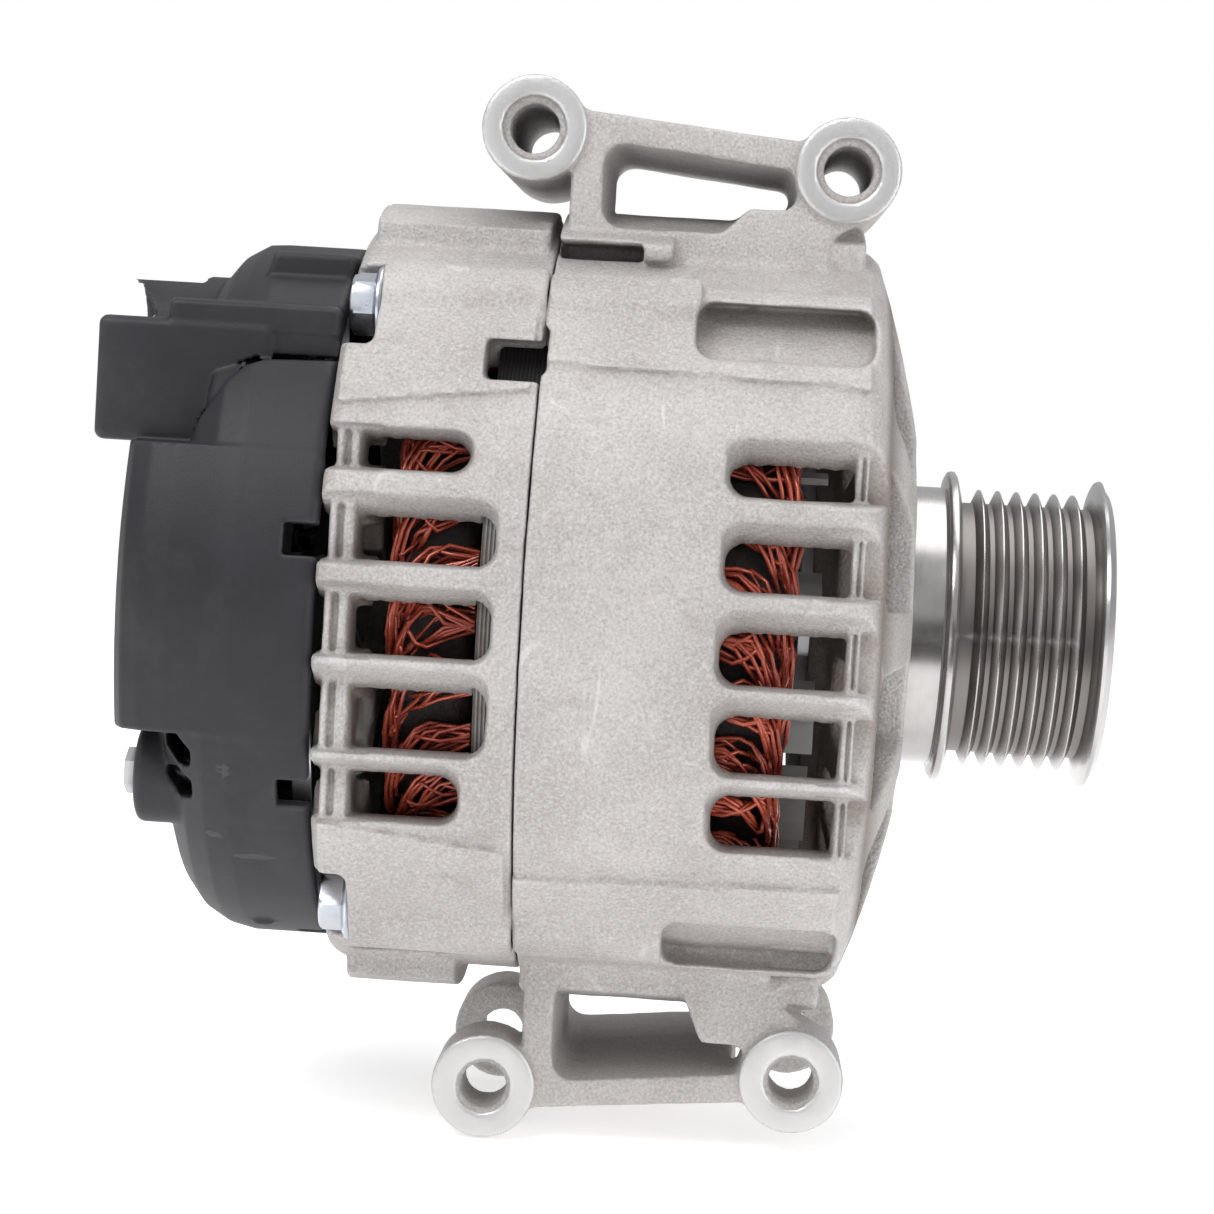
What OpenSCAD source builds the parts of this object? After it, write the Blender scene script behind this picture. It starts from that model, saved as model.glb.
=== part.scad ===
// Car alternator with an overrunning ribbed pulley.
// X runs along the shaft toward the pulley, Z is up, and the lugs' bores run along Y.
// The origin is on the shaft axis in the plane of the belt's middle groove line.

/* [Housing] */
// Outer radius of the cast housings' plain band
body_r = 70; // [69:0.5:71]
// Plane where the front and rear housings meet
seam_x = -88.6; // [-89:0.1:-88]
// Rear end of the rear housing's bars
rear_x = -124.2; // [-124.4:0.1:-124]
// Side windows on each side of each housing
window_count = 5; // [3:1:5]
// Angle from one side window to the next
window_pitch = 12.8; // [12.4:0.1:13.2]
// Width of a side window
window_w = 8.9; // [8:0.1:9.2]
// Radius of the circle that the through bolts stand on
bolt_circle_r = 66; // [65.5:0.1:66.5]
// Angle of the through bolts above and below the side line
bolt_angle = 54.5; // [53:0.5:56]

/* [Lugs] */
// Outer radius of a mounting boss
boss_r = 9.6; // [9:0.1:10]
// Bore radius of the upper mounting bosses
upper_bore_r = 4.5; // [4:0.1:5]
// Bore radius of the lower mounting bosses
lower_bore_r = 4.2; // [4:0.1:5]
// Near face of every mounting boss
lug_near_y = -28; // [-29:0.5:-27]
// Far face of every mounting boss
lug_far_y = 36; // [34:0.5:38]
// Thickness of each lower boss wall
lower_wall = 14; // [12:0.5:16]

/* [Stator] */
// Outer radius of the laminated core
core_r = 64.4; // [64.2:0.1:64.4]
// Radius of the bore that the rotor turns in
core_bore_r = 47; // [46.8:0.1:47.2]
// Number of winding slots
slot_count = 36; // [24:12:48]
// Length of the winding that stands out at each end of the core
end_turn = 17; // [15:0.5:17.5]

/* [Rotor] */
// Radius of the shaft in its bearings
shaft_r = 8.5; // [8.5:0.1:8.6]
// Pole fingers on each claw pole
pole_count = 8; // [6:1:8]
// Outer radius of the claw poles
pole_r = 46.5; // [46:0.1:46.6]
// Blades on each fan
blade_count = 11; // [9:1:13]
// Balls in each bearing
ball_count = 8; // [7:1:8]

/* [Pulley] */
// Radius over the belt ribs
rib_r = 26.4; // [26:0.1:26.6]
// Distance between belt ribs
rib_pitch = 3.56; // [3.5:0.01:3.6]
// Number of belt grooves
groove_count = 6; // [4:1:6]
// Rollers in the overrunning clutch
roller_count = 12; // [10:1:14]

/* [Rear end] */
// Outer radius of the plastic rear cover
cover_r = 66; // [65:0.5:67]
// Rear face of the cover's deep middle part
cover_x = -159.5; // [-160:0.5:-159]
// Wall thickness of the rear cover
cover_wall = 2.4; // [2:0.1:2.6]
// Radius of the output stud
stud_r = 4; // [3.5:0.1:4]
// Radius of the slip rings
slip_r = 8; // [7.8:0.1:8.2]

/* [Hidden] */

$fn = 96;
eps = 0.01;
fit = 0.1;

// Housing lengths
seam_gap = 0.15;
core_front_x = -58;
core_rear_x = -96.4;
hub_x = -20.5;
bar_end_x = -28.6;
rim_inner_x = -32.4;
rear_wall_x = -118;
bar_depth = 8.2;
front_window = [-55, -33];
rear_window = [-118, -93.6];
rim_drop = 3.6;

// Rolling bearings: bore radius, outer radius, width, rear face
front_bearing = [8.5, 23.5, 14, -38.5];
rear_bearing = [8.5, 20, 12, -131];
lip_r = 14.5;
ball_r = 4;
rear_ball_r = 3.2;
sleeve_wall = 1.5;
sleeved_bearing = [rear_bearing[0], rear_bearing[1] - sleeve_wall, rear_bearing[2], rear_bearing[3]];
retainer_circle_r = 27.2;

// Mounting bosses: X and Z of the rear and front ones
upper_bosses = [[-93.8, 87.6], [-36.6, 83]];
lower_bosses = [[-93.4, -88.6], [-36.6, -84]];
ear_r = boss_r + 1;
plate_near_y = lug_near_y + 2;
plate_far_y = lug_far_y - 2;

// Rotor lengths
pole_front_x = -56;
pole_rear_x = -98.4;
pole_plate = 11;
pole_core_r = 26;
front_blade_h = 18.8;
rear_blade_h = 13.8;
shaft_tail_x = -151;

// Pulley lengths
collar_x = -21.1;
flange_x = -13.6;
flange_r = 29.6;
groove_depth = 2.5;
rim_end_x = 17;
rim_bore_r = 17;
hub_r = 12.6;
hub_bore_r = 8.02;
hub_start_x = front_bearing[3] + front_bearing[2] + 0.2;
hub_end_x = 12.5;
cap_end_x = 17.6;

// Rear end lengths
cover_front_x = rear_x - 0.4;
slab_top = 27.5;
slab_bottom = -22.5;
brush_w = 4.6;
brush_depth = 6.4;
brush_len = 15;
inner_ring_x = -139.5;
outer_ring_x = -147;
ring_w = 6.5;
bolt_r = 3;
lead_pitch = 3.2;
lead_r = 52;
slot_roof = 37;
brush_top = slip_r + 0.1 + brush_len;
stud_at = [-9, 47];
cover_screw_at = [42, -32];

// Diodes and screws of the rectifier
diode_angles = [-150, -126, -102, -78, -54, -30];
screw_angles = [-36, -108, -144];
negative_r = 53;
positive_r = 37;
screw_circle_r = 45.5;

// Turns a (radius, x) outline about the shaft axis
module turned(points) {
    rotate([0, 90, 0]) rotate_extrude() polygon(points);
}

// Rod or ring along X from x0 to x1
module rod(r, x0, x1) {
    translate([x0, 0, 0]) rotate([0, 90, 0]) cylinder(r = r, h = x1 - x0);
}

module ring(r_out, r_in, x0, x1) {
    difference() {
        rod(r_out, x0, x1);
        rod(r_in, x0 - 1, x1 + 1);
    }
}

// Hexagonal or round prism along X
module prism(r, x0, x1, sides) {
    translate([x0, 0, 0]) rotate([0, 90, 0]) cylinder(r = r, h = x1 - x0, $fn = sides);
}

// Box between two corners
module box(low, high) {
    translate(low) cube(high - low);
}

// Rectangle with round corners, centred on the origin
module round_rect(l, w, r) {
    square([l - 2 * r, w], center = true);
    square([l, w - 2 * r], center = true);
    for (sx = [-1, 1], sy = [-1, 1])
        translate([sx * (l / 2 - r), sy * (w / 2 - r)]) circle(r = r, $fn = 32);
}

// Puts children that face -Y at an angle above the side line
module at_angle(a) {
    rotate([-a, 0, 0]) children();
}

// Window cutter through the near wall, from x0 to x1
module window_cut(x0, x1, w, depth, corner) {
    translate([(x0 + x1) / 2, -body_r + depth, 0]) rotate([90, 0, 0])
        linear_extrude(height = depth + 6) round_rect(x1 - x0, w, corner);
}

window_angles = [for (i = [0:window_count - 1]) ((window_count - 1) / 2 - i) * window_pitch - 2.6];
far_angles = [for (a = window_angles) 180 + a + 5.2];
side_angles = concat(window_angles, far_angles);
bolt_spots = [for (sy = [-1, 1], sz = [-1, 1])
    [sy * bolt_circle_r * cos(bolt_angle), sz * bolt_circle_r * sin(bolt_angle)]];
retainer_spots = [for (i = [0:3]) retainer_circle_r * [cos(i * 90 + 45), sin(i * 90 + 45)]];

// ---- Housings ----

// Outline of one bracket, z measured away from the shaft, without its window
module bracket_outline(bosses, side, leg_x) {
    rear = [bosses[0][0], side * bosses[0][1]];
    front = [bosses[1][0], side * bosses[1][1]];
    polygon([
        [leg_x[0], 58], [leg_x[0], rear[1] - 6], rear, rear + [9, 3.6], front + [-8, 4.6],
        front, front + [7, -6.5], [leg_x[1], 70], [leg_x[1] + 1, 58]
    ]);
}

module bracket_window(bosses, side, low, step) {
    rear_z = side * bosses[0][1];
    front_z = side * bosses[1][1];
    polygon([
        [-79.6, low], [-79.6, rear_z - 2.8], [-46.4, front_z - 1.6], [-46.4, step],
        [-54.6, step], [-59.6, low]
    ]);
}

// One bracket: a plate frame from near to far, closed by its two bosses
module bracket(bosses, side, low, step) {
    scale_z = side > 0 ? 0 : 1;
    mirror([0, 0, scale_z]) translate([0, plate_far_y, 0]) rotate([90, 0, 0])
        linear_extrude(height = plate_far_y - plate_near_y) difference() {
            bracket_outline(bosses, side, [-86.8, -39.6]);
            bracket_window(bosses, side, low, step);
        }
}

module boss(at, y0, y1) {
    translate([at[0], y1, at[1]]) rotate([90, 0, 0]) cylinder(r = boss_r, h = y1 - y0);
}

// Bore along Y with a chamfer at both faces
module boss_bore(at, r) {
    translate([at[0], lug_far_y + 1, at[1]]) rotate([90, 0, 0])
        cylinder(r = r, h = lug_far_y - lug_near_y + 2);
    for (y = [lug_near_y, lug_far_y])
        translate([at[0], y, at[1]]) rotate([y < 0 ? -90 : 90, 0, 0])
            translate([0, 0, -eps]) cylinder(r1 = r + 1, r2 = r, h = 1);
}

module front_bell() {
    inner_r = body_r - bar_depth;
    turned([
        [body_r, seam_x + seam_gap], [body_r, -33.5], [body_r - 0.6, -31], [body_r - 2.2, -29.3],
        [body_r - 4.2, bar_end_x], [52, -24.2], [40, -21], [37.5, hub_x], [31, hub_x], [30, -22.3],
        [lip_r, -22.3], [lip_r, front_bearing[3] + front_bearing[2]],
        [front_bearing[1], front_bearing[3] + front_bearing[2]], [front_bearing[1], front_bearing[3]],
        [31, front_bearing[3]], [33, -35], [50, -30.5], [inner_r, rim_inner_x],
        [inner_r, core_front_x], [core_r + fit / 2, core_front_x], [core_r + fit / 2, seam_x + seam_gap]
    ]);
}

module front_openings() {
    for (i = [0:9])
        rotate([i * 36 + 18, 0, 0]) translate([-36, 0, 0]) rotate([0, 90, 0])
            linear_extrude(height = 18) difference() {
                polygon([[36, -7], [57, -12.5], [59.5, -11], [60.5, 0], [59.5, 11], [57, 12.5], [36, 7]]);
            }
}

// Raised blocks on the front housing, under and over the brackets
module front_raised() {
    intersection() {
        union() {
            box([seam_x + 1.2, plate_near_y + 0.6, 55], [-32, plate_far_y - 0.6, 73]);
            box([seam_x + 1.2, plate_near_y + 0.6, -72], [-32, plate_far_y - 0.6, -55]);
        }
        rod(76, -100, -20);
    }
}

module front_housing() color("silver") difference() {
    union() {
        front_bell();
        difference() {
            union() {
                front_raised();
                bracket(upper_bosses, 1, 71.6, 76.4);
                bracket(lower_bosses, -1, 69, 79.4);
            }
            rod(body_r - 2, -100, -30);
            for (b = lower_bosses) translate([b[0], lug_far_y - lower_wall, b[1]]) rotate([90, 0, 0])
                cylinder(r = ear_r, h = lug_far_y - lug_near_y - 2 * lower_wall);
        }
        for (b = upper_bosses) boss(b, lug_near_y, lug_far_y);
        intersection() {
            for (s = bolt_spots) translate([0, s[0], s[1]]) rod(7.4, seam_x + 0.8, -61);
            difference() {
                rod(72.6, -100, -60);
                rod(body_r - 2, -101, -59);
            }
        }
        for (b = lower_bosses) {
            boss(b, lug_near_y, lug_near_y + lower_wall);
            boss(b, lug_far_y - lower_wall, lug_far_y);
        }
    }
    for (b = upper_bosses) boss_bore(b, upper_bore_r);
    for (b = lower_bosses) boss_bore(b, lower_bore_r);
    for (a = side_angles) at_angle(a) {
        window_cut(front_window[0], front_window[1], window_w, 12, 2.2);
        window_cut(front_window[1] - 3, bar_end_x + 3, window_w - 0.3, rim_drop, 0.6);
    }
    for (a = [65, 115]) at_angle(a) window_cut(seam_x + 1, -72.5, 5.5, 10, 0.8);
    for (s = [-1, 1], a = [52, -55]) at_angle(s > 0 ? a : 180 - a)
        window_cut(-62.2, bar_end_x + 3, a > 0 ? 11.5 : 13, 4.2, 3);
    for (s = bolt_spots) translate([0, s[0], s[1]]) rod(bolt_r + 0.1, -100, -66);
    for (s = bolt_spots) translate([0, s[0], s[1]]) rod(5, -100, seam_x + 1.3);
    for (s = retainer_spots) translate([0, s[0], s[1]]) rod(2.05, -40, front_bearing[3] + 7.5);
    front_openings();
}

module rear_shell() {
    inner_r = body_r - bar_depth;
    turned([
        [body_r, seam_x - seam_gap], [core_r + fit / 2, seam_x - seam_gap], [core_r + fit / 2, core_rear_x],
        [inner_r, core_rear_x], [inner_r, rear_wall_x + 1], [54, -114.5], [27, -114.5], [24, -116.5],
        [rear_bearing[1] - 2, -116.5], [rear_bearing[1] - 2, rear_bearing[3] + rear_bearing[2]],
        [rear_bearing[1], rear_bearing[3] + rear_bearing[2]], [rear_bearing[1], rear_bearing[3]],
        [24, rear_bearing[3]], [24, rear_wall_x - 1], [50, rear_wall_x - 1], [60, -121.5],
        [61, rear_x], [body_r - 3, rear_x], [body_r - 1, rear_x + 1], [body_r, rear_x + 4]
    ]);
}

module rear_openings() {
    for (i = [0:9])
        rotate([i * 36, 0, 0]) translate([-123, 0, 0]) rotate([0, 90, 0])
            linear_extrude(height = 12)
                polygon([[28, -5], [52, -11], [55, -6], [55.5, 0], [55, 6], [52, 11], [28, 5]]);
}

module rear_housing() color("silver") difference() {
    union() {
        rear_shell();
        intersection() {
            difference() {
                union() {
                    for (s = bolt_spots) translate([0, s[0], s[1]])
                        rod(8, rear_wall_x - 2, seam_x - seam_gap);
                    box([-122, -26, 55], [seam_x - 1.2, 30, 74]);
                    box([-120.5, -24, -74], [-100, 28, -55]);
                }
                rod(core_r + 1, -130, -80);
            }
            rod(74.2, -130, -80);
        }
    }
    for (a = side_angles) at_angle(a) {
        window_cut(rear_window[0], rear_window[1], window_w, 14, 2);
        window_cut(rear_x - 4, rear_window[0] + 3, window_w - 0.3, rim_drop, 0.6);
    }
    for (s = [0, 1]) at_angle(s > 0 ? 140 : 40) window_cut(-98.2, seam_x + 2, 8.4, 9, 0.8);
    at_angle(-67) window_cut(-119, -101, 4, 5, 1.5);
    for (s = bolt_spots) translate([0, s[0], s[1]]) rod(bolt_r + 0.3, -130, -80);
    for (s = bolt_spots) translate([0, s[0], s[1]]) rod(5, seam_x - 1.3, -80);
    for (s = bolt_spots) translate([0, s[0], s[1]]) rod(8.5, -130, rear_wall_x);
    rear_openings();
    screw_holes(2.3, -130, -110);
}

module through_bolts() color("lightsteelblue")
    for (s = bolt_spots) translate([0, s[0], s[1]]) {
        rod(bolt_r, rear_wall_x - 1, -68);
        rod(7, rear_wall_x - 1.2, rear_wall_x);
        prism(5.8, rear_wall_x - 5.8, rear_wall_x - 1.2, 6);
    }

// ---- Stator ----

module slot_cut(w, r0, r1, x0, x1) {
    box([x0, -r1, -w / 2], [x1, -r0, w / 2]);
}

module stator_core() color("dimgray") difference() {
    ring(core_r, core_bore_r, core_rear_x, core_front_x);
    for (i = [0:slot_count - 1]) rotate([i * 360 / slot_count, 0, 0]) {
        slot_cut(4.6, core_bore_r + 1.2, 58.2, core_rear_x - 1, core_front_x + 1);
        slot_cut(2, core_bore_r - 2, core_bore_r + 2, core_rear_x - 1, core_front_x + 1);
    }
    for (s = bolt_spots) translate([0, s[0], s[1]]) rod(bolt_r + 0.4, core_rear_x - 1, core_front_x + 1);
}

module slot_liners() color("wheat")
    for (i = [0:slot_count - 1]) rotate([i * 360 / slot_count, 0, 0]) difference() {
        slot_cut(4.5, 48.4, 58.1, core_rear_x - 0.4, core_front_x + 0.4);
        slot_cut(3.9, 47, 57.8, core_rear_x - 1, core_front_x + 1);
    }

module end_turns(x0, x1) {
    turned([[49.5, x0], [58, x0], [60.6, x0 + (x1 - x0) * 0.3], [60.6, x0 + (x1 - x0) * 0.8],
        [59.2, x1], [51, x1], [49.2, x0 + (x1 - x0) * 0.85]]);
}

module stator_winding() color("brown") {
    for (i = [0:slot_count - 1]) rotate([i * 360 / slot_count, 0, 0])
        slot_cut(3.6, 49.6, 57.4, core_rear_x - 0.7, core_front_x + 0.7);
    end_turns(core_front_x + 0.5, core_front_x + end_turn);
    end_turns(core_rear_x - 0.5, core_rear_x - end_turn);
}

module phase_leads() color("brown")
    for (y = [-1, 0, 1]) translate([0, y * lead_pitch, -lead_r]) rod(1.2, -143, core_rear_x - end_turn);

// ---- Rotor ----

module rotor_shaft() color("silver") {
    rod(shaft_r, rear_bearing[3], hub_start_x - 1);
    rod(9.5, rear_bearing[3] + rear_bearing[2] + 0.1, front_bearing[3] - 0.1);
    rod(8, hub_start_x - 1, hub_end_x - 4.5);
    rod(5, shaft_tail_x, rear_bearing[3]);
}

// One claw pole: a plate whose fingers reach over the coil
module claw_pole(x_plate, dir) {
    plate_x = min(x_plate, x_plate - dir * pole_plate);
    core_x = min(x_plate, x_plate - dir * 21.1);
    difference() {
        union() {
            intersection() {
                rod(pole_r, plate_x, plate_x + pole_plate);
                translate([plate_x, 0, 0]) rotate([0, 90, 0]) linear_extrude(height = pole_plate)
                    for (i = [0:pole_count - 1]) rotate(i * 360 / pole_count)
                        polygon([[0, -14], [30, -11.4], [pole_r + 1, -9.4], [pole_r + 1, 9.4],
                            [30, 11.4], [0, 14]]);
            }
            intersection() {
                ring(pole_r, 38.5, pole_rear_x + 1, pole_front_x - 1);
                for (i = [0:pole_count - 1]) rotate([i * 360 / pole_count, 0, 0])
                    rotate([90, 0, 0]) translate([0, 0, 30]) linear_extrude(height = 20)
                        polygon([[x_plate - dir * 2, -11.4], [x_plate - dir * 39.5, -2.6],
                            [x_plate - dir * 39.5, 2.6], [x_plate - dir * 2, 11.4]]);
            }
            rod(pole_core_r, core_x, core_x + 21.1);
        }
        rod(9.5 + fit / 10, -140, -20);
    }
}

module front_claw_pole() color("gray") claw_pole(pole_front_x, 1);

module rear_claw_pole() color("gray") rotate([180 / pole_count, 0, 0]) claw_pole(pole_rear_x, -1);

module coil_bobbin() color("ivory") {
    x0 = pole_rear_x + pole_plate + 0.1;
    x1 = pole_front_x - pole_plate - 0.1;
    turned([[pole_core_r + 0.1, x0], [38, x0], [38, x0 + 1.2], [pole_core_r + 1.4, x0 + 1.2],
        [pole_core_r + 1.4, x1 - 1.2], [38, x1 - 1.2], [38, x1], [pole_core_r + 0.1, x1]]);
}

module field_coil() color("brown")
    ring(37.6, pole_core_r + 1.5, pole_rear_x + pole_plate + 1.4, pole_front_x - pole_plate - 1.4);

// Outline of one curved blade, swept along an arc from the inner to the outer radius
function blade_arc(r, a0, a1, steps) = [for (i = [0:steps]) let (a = a0 + (a1 - a0) * i / steps)
    [28 + r * cos(a), 14 + r * sin(a)]];

// Fan: a plate with curved blades that stand away from the rotor
module fan(x_plate, dir, blade_len) {
    plate_x = min(x_plate, x_plate + dir * 1.2);
    blade_x = min(x_plate + dir * 0.5, x_plate + dir * blade_len);
    ring(40, 9.6, plate_x, plate_x + 1.2);
    for (i = [0:blade_count - 1]) rotate([i * 360 / blade_count, 0, 0])
        translate([blade_x, 0, 0]) rotate([0, 90, 0]) linear_extrude(height = blade_len - 0.5)
            polygon(concat(blade_arc(20.6, -72, -32, 8), blade_arc(19.4, -32, -72, 8)));
}

module front_fan() color("darkgray") fan(pole_front_x + 0.1, 1, front_blade_h);

module rear_fan() color("darkgray") fan(pole_rear_x - 0.1, -1, rear_blade_h);

module slip_ring_carrier() color("dimgray")
    ring(slip_r - 1.2, 5, outer_ring_x - ring_w / 2 - 0.6, rear_bearing[3] - 0.3);

module slip_ring(x) {
    ring(slip_r, slip_r - 1.2, x - ring_w / 2, x + ring_w / 2);
}

module inner_slip_ring() color("darkgoldenrod") slip_ring(inner_ring_x);

module outer_slip_ring() color("darkgoldenrod") slip_ring(outer_ring_x);

// ---- Bearings ----

function ball_circle(b) = (b[0] + b[1]) / 2;

module bearing_race_outer(b, r) {
    mid = b[3] + b[2] / 2;
    difference() {
        ring(b[1], ball_circle(b) + r * 0.55, b[3], b[3] + b[2]);
        translate([mid, 0, 0]) rotate([0, 90, 0]) rotate_extrude()
            translate([ball_circle(b), 0]) circle(r = r + 0.05, $fn = 48);
    }
}

module bearing_race_inner(b, r) {
    mid = b[3] + b[2] / 2;
    difference() {
        ring(ball_circle(b) - r * 0.55, b[0], b[3], b[3] + b[2]);
        translate([mid, 0, 0]) rotate([0, 90, 0]) rotate_extrude()
            translate([ball_circle(b), 0]) circle(r = r + 0.05, $fn = 48);
    }
}

module bearing_balls(b, r) {
    for (i = [0:ball_count - 1]) rotate([i * 360 / ball_count, 0, 0])
        translate([b[3] + b[2] / 2, -ball_circle(b), 0]) sphere(r = r, $fn = 48);
}

module bearing_cage(b, r) {
    mid = b[3] + b[2] / 2;
    difference() {
        ring(ball_circle(b) + r * 0.4, ball_circle(b) - r * 0.4, mid - r * 1.15, mid + r * 1.15);
        for (i = [0:ball_count - 1]) rotate([i * 360 / ball_count, 0, 0])
            translate([mid, -ball_circle(b) + 2 * r, 0]) rotate([90, 0, 0])
                cylinder(r = r + 0.08, h = 4 * r);
    }
}

module front_bearing_outer() color("silver") bearing_race_outer(front_bearing, ball_r);

module front_bearing_inner() color("silver") bearing_race_inner(front_bearing, ball_r);

module front_bearing_balls() color("silver") bearing_balls(front_bearing, ball_r);

module front_bearing_cage() color("khaki") bearing_cage(front_bearing, ball_r);

module rear_bearing_outer() color("silver") bearing_race_outer(sleeved_bearing, rear_ball_r);

module rear_bearing_inner() color("silver") bearing_race_inner(sleeved_bearing, rear_ball_r);

module rear_bearing_balls() color("silver") bearing_balls(sleeved_bearing, rear_ball_r);

module rear_bearing_cage() color("khaki") bearing_cage(sleeved_bearing, rear_ball_r);

module bearing_sleeve() color("black")
    ring(rear_bearing[1], rear_bearing[1] - sleeve_wall, rear_bearing[3], rear_bearing[3] + rear_bearing[2]);

module bearing_retainer() color("lightsteelblue") difference() {
    prism(31, front_bearing[3] - 2, front_bearing[3], 8);
    rod(16, front_bearing[3] - 3, 0);
    for (s = retainer_spots) translate([0, s[0], s[1]]) rod(2.1, front_bearing[3] - 3, 0);
}

module retainer_screws() color("lightsteelblue")
    for (s = retainer_spots) translate([0, s[0], s[1]]) difference() {
        union() {
            rod(3.8, front_bearing[3] - 4.4, front_bearing[3] - 2);
            rod(2, front_bearing[3] - 3, front_bearing[3] + 7);
        }
        prism(1.8, front_bearing[3] - 5, front_bearing[3] - 3.2, 6);
    }

// ---- Pulley ----

function rib_x(i) = (i - 2) * rib_pitch;

// Rim outline: collar, flange, ribs and grooves, outer flange, chamfered end
module pulley_rim() color("silver") {
    ribs = [for (i = [0:groove_count - 1]) for (p = [
        [rib_r - 0.3, rib_x(i) - 0.25], [rib_r - 0.3, rib_x(i) + 0.25],
        [rib_r - groove_depth, rib_x(i) + rib_pitch / 2 - 0.35],
        [rib_r - groove_depth, rib_x(i) + rib_pitch / 2 + 0.35]]) p];
    turned(concat(
        [[rim_bore_r, collar_x], [rib_r - 0.8, collar_x], [rib_r, collar_x + 0.8],
            [rib_r, flange_x], [flange_r - 1, flange_x], [flange_r, flange_x + 0.8],
            [flange_r, flange_x + 1.6], [rib_r - groove_depth, rib_x(-1) - 0.35],
            [rib_r - groove_depth, rib_x(-1) + 1.43]],
        ribs,
        [[rib_r - 0.3, rib_x(groove_count) - 0.6], [flange_r - 0.6, rib_x(groove_count) + 0.6],
            [flange_r - 0.2, rib_x(groove_count) + 1], [flange_r - 0.6, rim_end_x - 1.6],
            [flange_r - 2.6, rim_end_x], [rim_bore_r + 4, rim_end_x], [rim_bore_r + 4, rim_end_x - 3],
            [rim_bore_r, rim_end_x - 3]]
    ));
}

module pulley_hub() color("gray") difference() {
    ring(hub_r, hub_bore_r, hub_start_x, hub_end_x);
    prism(9.6, hub_end_x - 4, hub_end_x + 1, 6);
}

module front_bush() color("darkgoldenrod") ring(rim_bore_r, hub_r + 0.05, 4.8, 12);

module rear_bush() color("darkgoldenrod") ring(rim_bore_r, hub_r + 0.05, -20, -12);

module pulley_rollers() color("silver")
    for (i = [0:roller_count - 1]) rotate([i * 360 / roller_count, 0, 0])
        translate([0, (hub_r + rim_bore_r) / 2, 0]) rod(2, -10, 3);

module roller_cage() color("dimgray") difference() {
    ring(rim_bore_r - 0.8, hub_r + 0.8, -11.5, 4.5);
    for (i = [0:roller_count - 1]) rotate([i * 360 / roller_count, 0, 0])
        translate([0, (hub_r + rim_bore_r) / 2, 0]) rod(2.1, -10.1, 3.1);
}

module pulley_cap() color("dimgray") {
    edge_r = rim_bore_r + 3.9;
    turned([[0, rim_end_x - 3], [edge_r, rim_end_x - 3], [edge_r, rim_end_x], [edge_r - 1, cap_end_x],
        [rim_bore_r - 4, cap_end_x], [rim_bore_r - 5, cap_end_x - 1], [0, cap_end_x - 1]]);
}

// ---- Rear end ----

// Horseshoe plate around the rear bearing, open at the top
module horseshoe(r_out, r_in, x0, x1) {
    difference() {
        ring(r_out, r_in, x0, x1);
        box([x0 - 1, -70, 8], [x1 + 1, 70, 70]);
        box([x0 - 1, -22, -8], [x1 + 1, 22, 70]);
    }
}

module diode_holes(r, radius, shift, x0, x1) {
    for (a = diode_angles) at_angle(a + shift) translate([0, -radius, 0]) rod(r, x0, x1);
}

module lead_notch(x0, x1) {
    box([x0, -4.6, -62], [x1, 4.6, -49.6]);
}

module rectifier_plate_negative() color("silver") difference() {
    horseshoe(60, 30, -128.4, -125);
    diode_holes(5.5, negative_r, 0, -140, -120);
    screw_holes(2.6, -140, -120);
    lead_notch(-140, -120);
}

// The positive plate has an arm that rises to the output stud
module rectifier_plate_positive() color("silver") difference() {
    union() {
        horseshoe(58, 27, -135.6, -132);
        intersection() {
            ring(54, 43, -135.6, -132);
            box([-136, -60, -4], [-130, 0, 60]);
        }
    }
    diode_holes(5.5, positive_r, 12, -140, -120);
    diode_holes(3, negative_r, 0, -140, -120);
    screw_holes(3.4, -140, -120);
    lead_notch(-140, -120);
    translate([0, stud_at[0], stud_at[1]]) rod(stud_r + 0.5, -140, -120);
}

// Press-fit diode: a can with a wire that reaches through the terminal carrier
module diodes(radius, shift, x0) {
    for (a = diode_angles) at_angle(a + shift) translate([0, -radius, 0]) {
        rod(5.5, x0, x0 + 3.4);
        rod(1, -143, x0);
    }
}

module negative_diodes() color("dimgray") diodes(negative_r, 0, -128.4);

module positive_diodes() color("dimgray") diodes(positive_r, 12, -135.5);

module screw_holes(r, x0, x1) {
    for (a = screw_angles) at_angle(a) translate([0, -screw_circle_r, 0]) rod(r, x0, x1);
}

module terminal_carrier() color("black") difference() {
    horseshoe(57, 31, -142, -138.6);
    diode_holes(1.2, negative_r, 0, -150, -120);
    diode_holes(1.2, positive_r, 12, -150, -120);
    screw_holes(2.3, -150, -120);
    for (y = [-1, 0, 1]) translate([0, y * lead_pitch, -lead_r]) rod(1.25, -150, -120);
    for (s = [-1, 1]) translate([0, s * cover_screw_at[0], cover_screw_at[1]]) rod(2.3, -150, -120);
}

module rectifier_screws() color("lightsteelblue")
    for (a = screw_angles) at_angle(a) translate([0, -screw_circle_r, 0]) {
        rod(2.2, -142, -115);
        rod(4, -144.6, -142);
    }

module regulator() color("black") difference() {
    union() {
        box([-150.6, -13, 11.5], [-134, 13, 39]);
        box([-149, -26, 16], [-137, -13, 30]);
        box([-149, 13, 16], [-137, 26, 30]);
        box([-146, -43, 33], [-139.5, -13, 39]);
    }
    for (x = [inner_ring_x, outer_ring_x]) brush_slot(x, 0, slot_roof);
    for (s = [-1, 1]) translate([0, s * 20, 23]) rod(2.2, -160, -120);
}

module brush_slot(x, z0, z1) {
    half = [brush_w / 2 + 0.1, brush_depth / 2 + 0.1];
    box([x - half[0], -half[1], z0], [x + half[0], half[1], z1]);
}

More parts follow.
